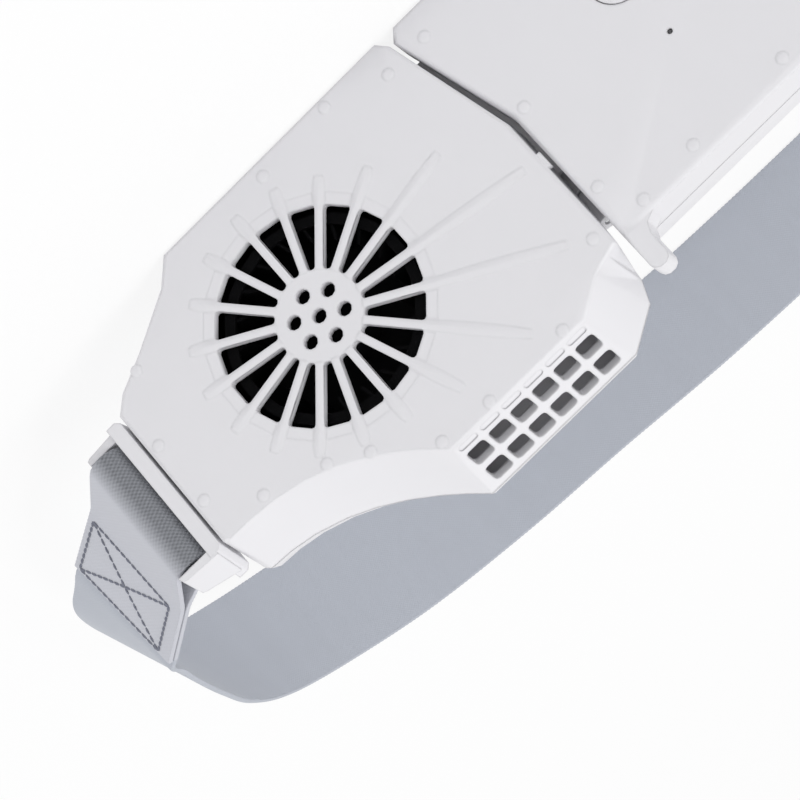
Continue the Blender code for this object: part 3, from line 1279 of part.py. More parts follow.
def press_arm(name, side):
    """One springy arm with its thumb pad in the socket's window. It hinges at the plug."""
    middle = LOOP_WEBBING_CENTRE
    x = -BUCKLE_OUT
    thin = PLUG_HALF_THICKNESS
    root = plug_front() - 2 * CLEARANCE
    tip = root - PRESS_ARM_REACH
    inner = ARM_PIVOT_HEIGHT - PRESS_ARM_WIDTH / 2
    outer = ARM_PIVOT_HEIGHT + PRESS_ARM_WIDTH / 2
    pad_back = BUCKLE_FRONT + WINDOW_START + WINDOW_LENGTH - 2 * CLEARANCE
    pad_front = pad_back - PAD_LENGTH
    inside = SOCKET_HALF_HEIGHT - 2 * CLEARANCE
    pad_low = PAD_HEIGHT - PRESS_ARM_WIDTH / 2
    outline = [(root, inner), (root, outer), (pad_back + PRESS_ARM_WIDTH, outer), (pad_back, inside),
               (pad_back, PAD_HEIGHT - 2 * CLEARANCE), (pad_back - PAD_LENGTH * 0.3, PAD_HEIGHT),
               (pad_front, pad_low), (pad_front, inside), (tip, outer), (tip, inner)]
    body = loft([[(x + out, y, middle + side * z) for y, z in outline] for out in (-thin, thin)])
    return make(name, [body], BUCKLE_GREY)


def strap_keeper():
    """The sliding loop that holds both layers of webbing together."""
    x = -BUCKLE_OUT
    start = plug_bar_back() + KEEPER_FROM_PLUG
    inner_x = WEBBING_THICKNESS + CLEARANCE / 2 + KEEPER_GAP
    inner_z = WEBBING_HALF + KEEPER_GAP
    middle = LOOP_WEBBING_CENTRE
    end = start + KEEPER_LENGTH
    outer_x, outer_z = inner_x + KEEPER_WALL, inner_z + KEEPER_WALL
    body = box(x - outer_x, x + outer_x, start, end, middle - outer_z, middle + outer_z)
    piece = make("strap_keeper", [body], BUCKLE_GREY)
    cut(piece, box(x - inner_x, x + inner_x, start - SHELL_OVERRUN, end + SHELL_OVERRUN, middle - inner_z,
                   middle + inner_z))
    return piece


# Assembly

def fan_side():
    """Every right-hand piece, grouped by the body that it belongs to."""
    front, rear, scroll = fan_front_cover(), fan_rear_cover(), blower_scroll()
    stator, bearing, shaft = motor_pieces()
    screws = []
    for x, z in fan_posts():
        screws.append(screw(f"right_fan_screw_{len(screws) + 1}", x, z, FAN_DEPTH))
    bar, loop_pin = loop_hardware()
    fan = [front, rear, scroll, stator, bearing, motor_lead(), loop_pin] + screws
    return fan, [impeller(), shaft], [loop_frame(), bar]


def build():
    for old in list(bpy.data.objects):
        bpy.data.objects.remove(old)
    fan_right, spin_right, loop_right = fan_side()
    groups_left = [[mirrored(piece, piece.name.replace("right", "left")) for piece in group]
                   for group in (fan_right, spin_right, loop_right)]
    fan_left, spin_left, loop_left = groups_left
    hinge = (HINGE_X, HINGE_DEPTH, 0)
    pin = rod("Z", hinge, PIN_RADIUS, HINGE_BOTTOM + CLEARANCE, HINGE_TOP - CLEARANCE, 12)
    pin_right = make("right_hinge_pin", [pin], STEEL)
    pin_left = mirrored(pin_right, "left_hinge_pin")
    inner, button = inner_pieces()
    centre_screws = []
    for side in (1, -1):
        for x, z in CENTRE_POSTS:
            centre_screws.append(screw(f"centre_screw_{len(centre_screws) + 1}", side * x, z, CENTRE_DEPTH))
    right_end, right_side, rear, left_side = belt_pieces()
    left_end, adjuster = left_belt_ends()
    arm_upper = press_arm("buckle_arm_upper", 1)
    arm_lower = press_arm("buckle_arm_lower", -1)
    keeper = strap_keeper()

    root = joint_axis("waist_fan", (0, 0, 0), None)
    shells = [centre_front_shell(), centre_rear_shell()]
    carry(root, shells + [pin_right, pin_left, rear, right_side, left_side] + inner + centre_screws)
    carry(joint_axis("button_axis", (0, 0, BUTTON_HEIGHT), root), [button])
    hinge_middle = (HINGE_BOTTOM + HINGE_TOP) / 2
    fans = {}
    for side, fan, spin, loop, belt_end in ((1, fan_right, spin_right, loop_right, right_end),
                                            (-1, fan_left, spin_left, loop_left, left_end)):
        word = "right" if side > 0 else "left"
        fans[side] = joint_axis(f"{word}_fan_axis", (side * HINGE_X, HINGE_DEPTH, hinge_middle), root)
        carry(fans[side], fan)
        spin_place = (side * INTAKE_X, IMPELLER_BACK, INTAKE_HEIGHT)
        carry(joint_axis(f"{word}_impeller_axis", spin_place, fans[side]), spin)
        loop_place = (side * LOOP_HINGE_X, LOOP_HINGE_DEPTH, LOOP_WEBBING_CENTRE)
        loop_axis = joint_axis(f"{word}_loop_axis", loop_place, fans[side])
        carry(loop_axis, loop + ([belt_end] if side > 0 else []))
    carry(fans[-1], [left_end, adjuster, buckle_socket(), buckle_plug()])
    for word, side, arm in (("upper", 1, arm_upper), ("lower", -1, arm_lower)):
        pivot = (-BUCKLE_OUT, plug_front() - CLEARANCE, LOOP_WEBBING_CENTRE + side * ARM_PIVOT_HEIGHT)
        carry(joint_axis(f"{word}_arm_axis", pivot, fans[-1]), [arm])
    keeper_middle = plug_bar_back() + KEEPER_FROM_PLUG + KEEPER_LENGTH / 2
    carry(joint_axis("keeper_axis", (-BUCKLE_OUT, keeper_middle, LOOP_WEBBING_CENTRE), fans[-1]), [keeper])

    solids = [piece for piece in bpy.data.objects if piece.type == "MESH"]
    for piece in solids:
        piece.data.shade_smooth()
        piece.data.set_sharp_from_angle(angle=math.radians(32))
    bpy.context.view_layer.update()
    depths = [(piece.matrix_world @ corner.co).y for piece in solids for corner in piece.data.vertices]
    root.location.y = -(min(depths) + max(depths)) / 2
    bpy.context.view_layer.update()


build()
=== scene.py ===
"""Looks, camera and webbing for the waist fan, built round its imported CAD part.

Metres, +Z up, in the part's own frame: X runs along the modules and +Y towards the wearer.
"""

import json
import math

import bmesh
import bpy
from mathutils import Matrix, Vector

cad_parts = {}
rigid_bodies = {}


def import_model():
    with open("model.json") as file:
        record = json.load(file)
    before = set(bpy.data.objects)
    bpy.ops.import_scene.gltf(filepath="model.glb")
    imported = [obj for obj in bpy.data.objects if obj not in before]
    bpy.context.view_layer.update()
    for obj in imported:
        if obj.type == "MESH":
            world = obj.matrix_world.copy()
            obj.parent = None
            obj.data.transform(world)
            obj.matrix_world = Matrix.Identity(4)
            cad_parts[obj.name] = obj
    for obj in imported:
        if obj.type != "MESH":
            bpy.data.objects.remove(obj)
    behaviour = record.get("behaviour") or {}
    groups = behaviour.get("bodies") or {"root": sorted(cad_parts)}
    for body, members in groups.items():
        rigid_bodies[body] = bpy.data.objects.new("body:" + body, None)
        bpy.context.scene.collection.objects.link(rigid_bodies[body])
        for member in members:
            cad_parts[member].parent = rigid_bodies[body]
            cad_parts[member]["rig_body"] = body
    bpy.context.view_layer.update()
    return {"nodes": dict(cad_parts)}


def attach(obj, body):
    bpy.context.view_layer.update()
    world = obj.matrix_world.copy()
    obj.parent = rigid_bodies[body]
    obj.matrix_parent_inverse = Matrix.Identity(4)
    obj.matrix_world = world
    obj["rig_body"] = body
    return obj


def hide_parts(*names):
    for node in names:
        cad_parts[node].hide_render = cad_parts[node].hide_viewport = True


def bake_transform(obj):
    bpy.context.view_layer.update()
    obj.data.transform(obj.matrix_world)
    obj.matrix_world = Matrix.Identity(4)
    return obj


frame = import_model()

# The outer faces of the modules lie on this plane, and the shallow pockets round the intakes show faintly
FACE_Y = -0.1296
POCKET_DEPTH = 0.0004
POCKET_MARGIN = 1.1
POCKET_SHOWN = 0.25

# Points of a CAD mesh nearer than this are one point, and edges sharper than these angles stay sharp
MERGE_DISTANCE = 1e-6
SHELL_SHARP_ANGLE = 40
WEBBING_SHARP_ANGLE = 50
THREAD_SHARP_ANGLE = 80

# Camera, fitted to the photograph: angles in degrees, lens and sensor in millimetres
CAMERA_PLACE = Vector((-0.02116, -1.02641, 0.45458))
CAMERA_YAW = 8.618
CAMERA_PITCH = -22.565
CAMERA_ROLL = 138.916
CAMERA_LENS = 172.26
CAMERA_SENSOR = 36

# Floor and light: each lamp has a name, a place, a target, a width and a power
FLOOR_HALF = 4.0
FLOOR_HEIGHT = -0.0005
FLOOR_LIFT = 0.85
FLOOR_COLOURS = ((0.88, 0.88, 0.885), (0.90, 0.90, 0.905))
FLOOR_CLOUD_SCALE = 8.0
FLOOR_ROUGHNESS = 0.9
WORLD_STRENGTH = 0.66
LAMPS = (
    ("key", (-0.5, -0.9, 2.0), (0.05, 0, 0.05), 1.2, 18.0),
    ("top", (0.3, 0.6, 2.2), (0.05, 0, 0.05), 1.6, 5.0),
    ("side", (1.6, -0.30, 0.35), (0.2, -0.10, 0.05), 0.8, 3.0),
)

# Colours, and the heights between which the duct is painted pale, as painted light inside the outlet
WHITE = (0.77, 0.765, 0.79)
BUTTON_WHITE = (0.74, 0.735, 0.76)
ROTOR_BLACK = (0.003, 0.003, 0.0035)
DUCT_BLACK = (0.006, 0.006, 0.0065)
# Painted light: a pale grey for the duct's upper part, so the shaded vents look lit inside
PAINTED_LIGHT_GREY = (0.80, 0.80, 0.82)
PAINTED_LIGHT_HEIGHTS = (0.0755, 0.0800)
BUCKLE_GREY = (0.33, 0.34, 0.37)
STEEL_GREY = (0.56, 0.57, 0.58)
COPPER = (0.45, 0.22, 0.10)
CELL_BLUE = (0.03, 0.10, 0.28)
BOARD_GREEN = (0.02, 0.12, 0.06)
LENS_GREY = (0.06, 0.06, 0.065)
LEAD_GREY = (0.03, 0.03, 0.03)
THREAD_GREY = (0.17, 0.18, 0.225)
BELT_GREY = (0.465, 0.490, 0.545)
# The webbing's own grey, made lighter than the belt's as painted light on the straps' lit outer faces
LOOP_GREY_WITH_PAINTED_LIGHT = (0.56, 0.57, 0.62)
# Painted shade: the darker grey of the webbing where it turns round a bar beside the loop's plate
LOOP_TURN_PAINTED_SHADE_GREY = (0.26, 0.27, 0.295)

# Weave: its pitch, and the colour, contrast and depth of webbing that lies straight or turns round a bar;
# the darker grey round a bar is painted shade
BELT_WEAVE_PITCH = 0.0012
BELT_WEAVE = (BELT_GREY, 0.05, 0.15)
LOOP_WEAVE_PITCH = 0.0016
LOOP_WEAVE = (LOOP_GREY_WITH_PAINTED_LIGHT, 0.05, 0.20)
LOOP_WEAVE_SHADED_IN_TURN = (LOOP_TURN_PAINTED_SHADE_GREY, 0.58, 0.95)

# Texture of moulded surfaces: pattern scales per metre, and how far the fine grain goes
CLOUD_SCALE = 60.0
GRAIN_SCALE = 2600.0
GRAIN_HEIGHT = 0.0002
ROUGHNESS_SPREAD = 0.04
EDGE_SAMPLES = 6

# Texture of webbing: the weft's pitch as a share of the warp's, fuzz, streaks and the height of all
WEFT_SHARE = 0.77
FUZZ_SCALE = 1400.0
FUZZ_HEIGHT = 0.6
STREAK_SCALE = 110.0
STREAK_SHADE = 0.8
SHADE_LOW = 0.2
SHADE_HIGH = 2.2
LIGHTENING_SHARE = 0.7
WEAVE_HEIGHT = 0.00025
WEBBING_ROUGHNESS = 0.92
WEBBING_SHEEN = 0.15

# Crests on the fronts, on the right-hand side: stations are shares of the spoke and of the reach beyond it
INTAKE = (0.1162, 0.0447)
SPOKES = 18
SPOKE_HALF = 0.00115
HUB_RADIUS = 0.0124
RIM_RADIUS = 0.0300
SPOKE_STATIONS = (0.0, 0.1, 0.3, 0.6, 0.9)
REACH_STATIONS = (0.1, 0.25, 0.45, 0.65, 0.85, 0.93, 1.0)
CREST_RISE = 0.0005
CREST_RISE_AT_HUB = 0.2
CREST_HALF = 0.0016
CREST_WIDENING = 3
CREST_NARROWING = 0.3
CREST_NARROWING_POWER = 6
CREST_FADING_POWER = 3
CREST_SHORT_REACH = 0.0075
CREST_LONG_REACH = 0.0400
CREST_LONG_ANGLE = 155.0
CREST_LONG_POWER = 4
CREST_SINK = 0.0006
CREST_TIP_SINK = 0.0001
CREST_STEPS = 10

# Rivet heads on the fronts, as places across and up: stations are shares of the head's rise
RIVET_RADIUS = 0.0017
RIVET_RISE = 0.0004
RIVET_STATIONS = (-0.35, 0.0, 0.3, 0.55, 0.75, 0.9, 0.98)
RIVET_SIDES = 24
FAN_RIVETS = (
    (0.0503, 0.0832), (0.0606, 0.0094), (0.0789, 0.0030), (0.1032, 0.0046), (0.0717, 0.0953),
    (0.0977, 0.0953), (0.1137, 0.0941), (0.1294, 0.0823), (0.1401, 0.0762), (0.1581, 0.0700),
    (0.1711, 0.0592), (0.1711, 0.0389), (0.1628, 0.0188),
)
CENTRE_RIVETS = (
    (0.0156, 0.0840), (0.0341, 0.0851), (0.0404, 0.0738), (0.0404, 0.0435), (0.0470, 0.0090),
)

# Webbing: its size, its section as shares of width and half thickness, and its curves
WEBBING_WIDTH = 0.0400
WEBBING_THICKNESS = 0.0016
WEBBING_BOTTOM = 0.0287
WEBBING_TOP = WEBBING_BOTTOM + WEBBING_WIDTH
LAYER_GAP = 0.0002
LAYER_OFFSET = WEBBING_THICKNESS / 2 + LAYER_GAP / 2
EDGE_ROUNDING = 0.0004
EDGE_FLATNESS = 0.6
SECTION_SHARES = (0.25, 0.5, 0.75)
SELVEDGE_RIPPLE = 0.00014
STRIP_STEP = 0.0008
SHORTEST_STEP = 1e-9
CURVE_SAMPLES = 24
TURN_STEPS = 24
BEND_ROUNDS = 6

# Strap in the belt loop, and where the right side of the belt starts behind it
BAR_PLACE = Vector((0.1860, FACE_Y + 0.0066))
BAR_RADIUS = 0.0045
ROLL_CLOSES = 0.0189
STRAP_TARGET = Vector((0.2146, FACE_Y + 0.0410))
STITCHED_LENGTH = 0.0450
STITCHED_LEAN = 0.0035
SIDE_START = 0.0050
SIDE_START_LEAN = 0.0048

# Where the webbing shows painted shade in its colour and a coarser weave, along it from the middle of its
# turn
ROLL_SHADE_MIDDLE = 0.0030
ROLL_SHADE_HALF = 0.0060
ROLL_SHADE_END = 0.0115

# Stitched box on the strap, measured from the bar and from the strap's edges
BOX_NEAR = 0.0222
BOX_FAR = 0.0440
BOX_ABOVE_BOTTOM = 0.0026
BOX_BELOW_TOP = 0.0045

# One stitch: stations are shares of its length, each with a share of its full width
STITCH_LENGTH = 0.0022
STITCH_PITCH = 0.0025
STITCH_STATIONS = ((-0.5, 0.35), (-0.4, 0.85), (0.0, 1.0), (0.4, 0.85), (0.5, 0.35))
STITCH_FLATNESS = 0.4
STITCH_ARCH = 0.5
THREAD_RADIUS = 0.00044
THREAD_SIDES = 6

# Buckle on the left, and the straps that turn round its bars
BUCKLE_OUT = 0.2390
SOCKET_BAR = Vector((BUCKLE_OUT, FACE_Y + 0.0618))
PLUG_BAR = Vector((BUCKLE_OUT, FACE_Y + 0.1155))
BUCKLE_BAR_RADIUS = 0.0021
BUCKLE_ROLL_CLOSES = 0.0075
STRAP_OVERLAP = 0.0040
LOOP_LAYER_STOPS = 0.0040
BUCKLE_LAYER_STOPS = 0.0080
ADJUSTER_LAYER_STOPS = 0.0020
ADJUSTER_END = FACE_Y + 0.1623

# Upper edge of the belt: across, back from the outer face, height, and outward lean of the lower edge
RIGHT_BELT = (
    (0.2183, 0.0570, 0.0665, 0.0110), (0.2213, 0.0740, 0.0640, 0.0140),
    (0.2256, 0.1070, 0.0600, 0.0145), (0.2280, 0.1380, 0.0560, 0.0120),
    (0.2235, 0.1660, 0.0520, 0.0020), (0.2080, 0.1945, 0.0472, -0.0060),
    (0.1815, 0.2210, 0.0434, -0.0080), (0.1450, 0.2390, 0.0407, -0.0055),
    (0.1080, 0.2465, 0.0400, -0.0020),
)
LEFT_BELT = (
    (0.2375, 0.1750, 0.0655, 0.0), (0.2260, 0.1960, 0.0605, 0.0), (0.2020, 0.2165, 0.0540, 0.0),
    (0.1670, 0.2325, 0.0470, 0.0), (0.1250, 0.2432, 0.0415, 0.0), (0.0950, 0.2492, 0.0402, 0.0),
)
REAR_BELT = ((0.0700, 0.2542, 0.0400, 0.0), (0.0350, 0.25795, 0.0400, 0.0), (0.0, 0.2592, 0.0400, 0.0))
BELT_SPLIT_Y = FACE_Y + 0.1070


# Geometry

def new_piece(name, vertices, faces):
    """A mesh object in the scene, from its points and its faces."""
    mesh = bpy.data.meshes.new(name)
    mesh.from_pydata([tuple(v) for v in vertices], [], faces)
    mesh.update()
    piece = bpy.data.objects.new(name, mesh)
    bpy.context.scene.collection.objects.link(piece)
    return piece


def lofted(rings):
    """Vertices and faces of a closed skin over rings with the same number of points."""
    count = len(rings[0])
    vertices = [point for ring in rings for point in ring]
    faces = [tuple(range(count))[::-1], tuple(range(len(vertices) - count, len(vertices)))]
    for level in range(len(rings) - 1):
        for i in range(count):
            a = level * count + i
            b = level * count + (i + 1) % count
            faces.append((a, b, b + count, a + count))
    return vertices, faces


def merged(solids):
    """Vertices and faces of several solids as those of one mesh."""
    vertices = []
    faces = []
    for more_vertices, more_faces in solids:
        start = len(vertices)
        vertices += more_vertices
        faces += [tuple(i + start for i in face) for face in more_faces]
    return vertices, faces


def smooth(piece, angle):
    """Smooth shading with edges above the angle kept sharp, steered by the larger faces."""
    piece.data.shade_smooth()
    piece.data.set_sharp_from_angle(angle=math.radians(angle))
    weighted = piece.modifiers.new("weighted normals", "WEIGHTED_NORMAL")
    weighted.keep_sharp = True


def pressed(y, foremost):
    """Depth of a point with nothing in front of a plane, and shallow pockets behind it made fainter."""
    behind = max(y - foremost, 0.0)
    if behind < POCKET_MARGIN * POCKET_DEPTH:
        behind *= POCKET_SHOWN
    return foremost + behind


def copy_of(name, foremost=None):
    """A CAD node's mesh with shared points joined, and pressed flat at a plane if one is given."""
    joined = bmesh.new()
    joined.from_mesh(frame["nodes"][name].data)
    bmesh.ops.remove_doubles(joined, verts=joined.verts, dist=MERGE_DISTANCE)
    joined.verts.index_update()
    vertices = [tuple(vertex.co) for vertex in joined.verts]
    faces = [tuple(vertex.index for vertex in face.verts) for face in joined.faces]
    joined.free()
    if foremost is not None:
        vertices = [(x, pressed(y, foremost), z) for x, y, z in vertices]
    return vertices, faces


def flipped(solid):
    """The same solid on the other side of the object's middle."""
    vertices, faces = solid
    return [(-x, y, z) for x, y, z in vertices], [face[::-1] for face in faces]


def dome(place):
    """A low round rivet head that stands out of a front face."""
    x, z = place
    angles = [math.tau * i / RIVET_SIDES for i in range(RIVET_SIDES)]
    rings = []
    for share in RIVET_STATIONS:
        radius = RIVET_RADIUS * math.sqrt(1 - max(share, 0.0) ** 2)
        y = FACE_Y - RIVET_RISE * share
        rings.append([(x + radius * math.cos(a), y, z + radius * math.sin(a)) for a in angles])
    return lofted(rings)


def crest_stations(reach):
    """Distance from the intake's middle, half width and rise of a crest at each of its sections."""
    stations = []
    for share in SPOKE_STATIONS:
        radius = HUB_RADIUS + (RIM_RADIUS - HUB_RADIUS) * share
        rise = CREST_RISE * (CREST_RISE_AT_HUB + (1 - CREST_RISE_AT_HUB) * share)
        stations.append((radius, SPOKE_HALF, rise))
    for share in REACH_STATIONS:
        half = min(CREST_HALF, SPOKE_HALF + (CREST_HALF - SPOKE_HALF) * share * CREST_WIDENING)
        half *= 1.0 - CREST_NARROWING * share ** CREST_NARROWING_POWER
        rise = CREST_RISE * (1.0 - share ** CREST_FADING_POWER) - CREST_TIP_SINK * share
        stations.append((RIM_RADIUS + reach * share, half, rise))
    return stations


def crest(angle):
    """A spoke's soft crest, which runs on over the face and fades into it, farthest near the hinge."""
    towards_hinge = max(0.0, math.cos(angle - math.radians(CREST_LONG_ANGLE))) ** CREST_LONG_POWER
    reach = CREST_SHORT_REACH + (CREST_LONG_REACH - CREST_SHORT_REACH) * towards_hinge
    out = Vector((math.cos(angle), 0, math.sin(angle)))
    side = Vector((-math.sin(angle), 0, math.cos(angle)))
    sink = Vector((0, CREST_SINK, 0))
    centre = Vector((INTAKE[0], FACE_Y, INTAKE[1]))
    rings = []
    for radius, half, rise in crest_stations(reach):
        base = centre + out * radius
        ring = []
        for step in range(CREST_STEPS + 1):
            turn = 2 * step / CREST_STEPS - 1
            height = rise * math.cos(math.pi / 2 * turn) ** 2
            ring.append(base - side * half * turn + Vector((0, -height, 0)))
        ring += [base - side * half + sink, base + side * half + sink]
        rings.append([tuple(point) for point in ring])
    return lofted(rings)


def catmull(points, step):
    """Evenly spaced points on a smooth curve through the given points."""
    knots = [Vector(p) for p in points]
    dense = []
    for i in range(len(knots) - 1):
        before, start = knots[max(i - 1, 0)], knots[i]
        end, after = knots[i + 1], knots[min(i + 2, len(knots) - 1)]
        for k in range(CURVE_SAMPLES):
            t = k / CURVE_SAMPLES
            value = 2 * start + (end - before) * t
            value += (2 * before - 5 * start + 4 * end - after) * t * t
            value += (3 * start - before - 3 * end + after) * t ** 3
            dense.append(value * 0.5)
    dense.append(knots[-1])
    result = [dense[0]]
    left = step
    for a, b in zip(dense, dense[1:]):
        length = (b - a).length
        while length > SHORTEST_STEP and left <= length:
            a = a + (b - a) * (left / length)
            result.append(a)
            length -= left
            left = step
        left -= length
    result.append(dense[-1])
    return result


def length_of(path):
    """Length of a path on plan."""
    return sum(math.dist(a[:2], b[:2]) for a, b in zip(path, path[1:]))


def webbing_section():
    """Points round the webbing's section: share of the width from the top, share of half the thickness."""
    inset = EDGE_ROUNDING / WEBBING_WIDTH
    outer = [inset, *SECTION_SHARES, 1 - inset]
    section = [(0.0, -EDGE_FLATNESS), (0.0, EDGE_FLATNESS)]
    section += [(share, 1.0) for share in outer]
    section += [(1.0, EDGE_FLATNESS), (1.0, -EDGE_FLATNESS)]
    section += [(share, -1.0) for share in reversed(outer)]
    return section


def webbing(name, path, side=1.0, first=0.0):
    """A webbing strip along points of (x, y, top height, outward lean of the lower edge).

    The weave's length coordinate starts at the first value given.
    """
    half = WEBBING_THICKNESS / 2
    section = webbing_section()
    rings = []
    lengths = []
    distance = first
    for i, point in enumerate(path):
        ahead = path[min(i + 1, len(path) - 1)]
        behind = path[max(i - 1, 0)]
        along = Vector((ahead[0] - behind[0], ahead[1] - behind[1]))
        out = Vector((along.y, -along.x)).normalized()
        if i:
            distance += math.dist(point[:2], behind[:2])
        lengths.append(distance)
        x, y, top, lean = point
        drop = math.sqrt(WEBBING_WIDTH ** 2 - lean ** 2)
        ripple = SELVEDGE_RIPPLE * (i % 2)
        ring = []
        for share, outward in section:
            edge = ripple if share == 0.0 else -ripple if share == 1.0 else 0.0
            flat = Vector((x, y)) + out * (lean * share + half * outward)
            ring.append((side * flat.x, flat.y, top - drop * share - edge))
        rings.append(ring)
    vertices, faces = lofted(rings)
    if side < 0:
        faces = [face[::-1] for face in faces]
    piece = new_piece(name, vertices, faces)
    layer = piece.data.uv_layers.new(name="weave")
    for loop in piece.data.loops:
        row, column = divmod(loop.vertex_index, len(section))
        across = section[column][0] * WEBBING_WIDTH
        layer.data[loop.index].uv = (lengths[row], across)
    smooth(piece, WEBBING_SHARP_ANGLE)
    return piece


def turn_round(centre, direction, radius, lengths, closes, lean):
    """Points of (x, y, lean) that run in beside a bar, turn round it and run back out, side by side."""
    heading = math.atan2(direction.y, direction.x)
    out = Vector((direction.y, -direction.x))
    track = radius + WEBBING_THICKNESS / 2
    leaves = math.acos(track / math.hypot(closes, LAYER_OFFSET)) + math.atan2(LAYER_OFFSET, closes)

    def beside(distance, side):
        place = centre + direction * distance + out * LAYER_OFFSET * side
        return place.x, place.y, -side * lean * distance / STITCHED_LENGTH

    points = [beside(lengths[0], 1), beside(closes, 1)]
    for step in range(TURN_STEPS + 1):
        angle = heading - leaves - (math.tau - 2 * leaves) * step / TURN_STEPS
        place = centre + Vector((math.cos(angle), math.sin(angle))) * track
        points.append((place.x, place.y, 0.0))
    return points + [beside(closes, -1), beside(lengths[1], -1)]


def evenly(points, step):
    """The points joined by straight lines, with extra points about a step apart."""
    result = []
    for a, b in zip(points, points[1:]):
        a, b = Vector(a), Vector(b)
        count = max(1, round((b - a).length / step))
        result += [a.lerp(b, k / count) for k in range(count)]
    result.append(Vector(points[-1]))
    return result


def relaxed(points):
    """The same points with their corners eased."""
    for _ in range(BEND_ROUNDS):
        between = [(a + b * 2 + c) / 4 for a, b, c in zip(points, points[1:], points[2:])]
        points = [points[0]] + between + [points[-1]]
    return points


def wrapped(name, centre, direction, radius, lengths, closes, side=1.0, lean=0.0):
    """A strap that turns round a bar, with two lengths beyond it. Its weave starts at mid turn."""
    path = relaxed(evenly(turn_round(centre, direction, radius, lengths, closes, lean), STRIP_STEP))
    beyond = [(Vector(point[:2]) - centre).dot(direction) for point in path]
    middle = beyond.index(min(beyond))
    first = -length_of(path[:middle + 1])
    return webbing(name, [(x, y, WEBBING_TOP, slope) for x, y, slope in path], side, first)


def stitch(middle, way, centre, direction, outward):
    """One stitch on the leaning strap, along a way given as (distance from the bar, height)."""
    cross = Vector((-way.y, way.x))
    out = Vector((direction.y, -direction.x))
    rings = []
    for share, width in STITCH_STATIONS:
        spot = middle + way * STITCH_LENGTH * share
        ring = []
        for corner in range(THREAD_SIDES):
            angle = math.tau * corner / THREAD_SIDES
            place = spot + cross * THREAD_RADIUS * width * math.cos(angle)
            raised = STITCH_FLATNESS * width * math.sin(angle) + STITCH_ARCH * (1 - (2 * share) ** 2)
            raised = math.copysign(raised * THREAD_RADIUS, outward)
            lean = STITCHED_LEAN * place.x / STITCHED_LENGTH * (WEBBING_TOP - place.y) / WEBBING_WIDTH
            flat = centre + direction * place.x + out * (lean + outward + raised)
            ring.append((flat.x, flat.y, place.y))
        rings.append(ring)
    return lofted(rings)


def stitch_line(start, end, centre, direction, outward):
    """Stitches from start to end, given as (distance from the bar, height)."""
    a, b = Vector(start), Vector(end)
    way = (b - a).normalized()
    count = int((b - a).length / STITCH_PITCH) + 1
    middles = [a.lerp(b, (i + 0.5) / count) for i in range(count)]
    return [stitch(middle, way, centre, direction, outward) for middle in middles]


# Materials

def shader_node(tree, kind, **values):
    """A new shader node, with values for its sockets or else its settings."""
    made = tree.nodes.new(kind)
    for key, value in values.items():
        if key in made.inputs:
            made.inputs[key].default_value = value
        else:
            setattr(made, key, value)
    return made


def empty_material(name):
    """A new material with its node tree and its shader."""
    material = bpy.data.materials.new(name)
    material.use_nodes = True
    tree = material.node_tree
    shader = tree.nodes["Principled BSDF"]
    return material, tree, shader


def mixed(tree, factor, first, second):
    """A colour between two colours, by a factor socket. Each may be a colour or a socket."""
    mix = tree.nodes.new("ShaderNodeMix")
    mix.data_type = "RGBA"
    tree.links.new(factor, mix.inputs["Factor"])
    # A Mix node's colours are its inputs 6 and 7 and its output 2
    for socket, colour in ((mix.inputs[6], first), (mix.inputs[7], second)):
        if isinstance(colour, tuple):
            socket.default_value = (*colour, 1)
        else:
            tree.links.new(colour, socket)
    return mix.outputs[2]


def ranged(tree, value, low, high, start=0.0, end=1.0):
    """The value's span from start to end, spread over low to high."""
    spread = tree.nodes.new("ShaderNodeMapRange")
    tree.links.new(value, spread.inputs["Value"])
    spread.inputs["From Min"].default_value = start
    spread.inputs["From Max"].default_value = end
    spread.inputs["To Min"].default_value = low
    spread.inputs["To Max"].default_value = high
    return spread.outputs["Result"]


def combined(tree, operation, first, second=None):
    """The result of a calculation on a socket, or on a socket and a second socket or number."""
    result = shader_node(tree, "ShaderNodeMath", operation=operation)
    tree.links.new(first, result.inputs[0])
    if isinstance(second, float):
        result.inputs[1].default_value = second
    elif second is not None:
        tree.links.new(second, result.inputs[1])
    return result.outputs[0]


def wave(tree, distance, pitch):
    """A sine wave along a distance socket."""
    return combined(tree, "SINE", combined(tree, "MULTIPLY", distance, math.tau / pitch))


def place_on_object(tree):
    return tree.nodes.new("ShaderNodeTexCoord").outputs["Object"]


def moulded(name, colour, roughness, edge=0.0, grain=0.02, metal=0.0, variation=0.03, shine=0.5):
    """Moulded or turned surface with faint clouding, fine grain and softened edges."""
    material, tree, shader = empty_material(name)
    place = place_on_object(tree)
    clouds = shader_node(tree, "ShaderNodeTexNoise", Scale=CLOUD_SCALE, Detail=3.0)
    tree.links.new(place, clouds.inputs["Vector"])
    darker = tuple(c * (1 - variation) for c in colour)
    lighter = tuple(min(1.0, c * (1 + variation)) for c in colour)
    tree.links.new(mixed(tree, clouds.outputs["Fac"], darker, lighter), shader.inputs["Base Color"])
    fine = shader_node(tree, "ShaderNodeTexNoise", Scale=GRAIN_SCALE, Detail=2.0)
    tree.links.new(place, fine.inputs["Vector"])
    rough = ranged(tree, fine.outputs["Fac"], roughness - ROUGHNESS_SPREAD, roughness + ROUGHNESS_SPREAD)
    tree.links.new(rough, shader.inputs["Roughness"])
    bump = shader_node(tree, "ShaderNodeBump", Strength=grain, Distance=GRAIN_HEIGHT)
    tree.links.new(fine.outputs["Fac"], bump.inputs["Height"])
    if edge:
        softened = tree.nodes.new("ShaderNodeBevel")
        softened.samples = EDGE_SAMPLES
        softened.inputs["Radius"].default_value = edge
        tree.links.new(softened.outputs["Normal"], bump.inputs["Normal"])
    tree.links.new(bump.outputs["Normal"], shader.inputs["Normal"])
    shader.inputs["Metallic"].default_value = metal
    shader.inputs["Specular IOR Level"].default_value = shine
    return material


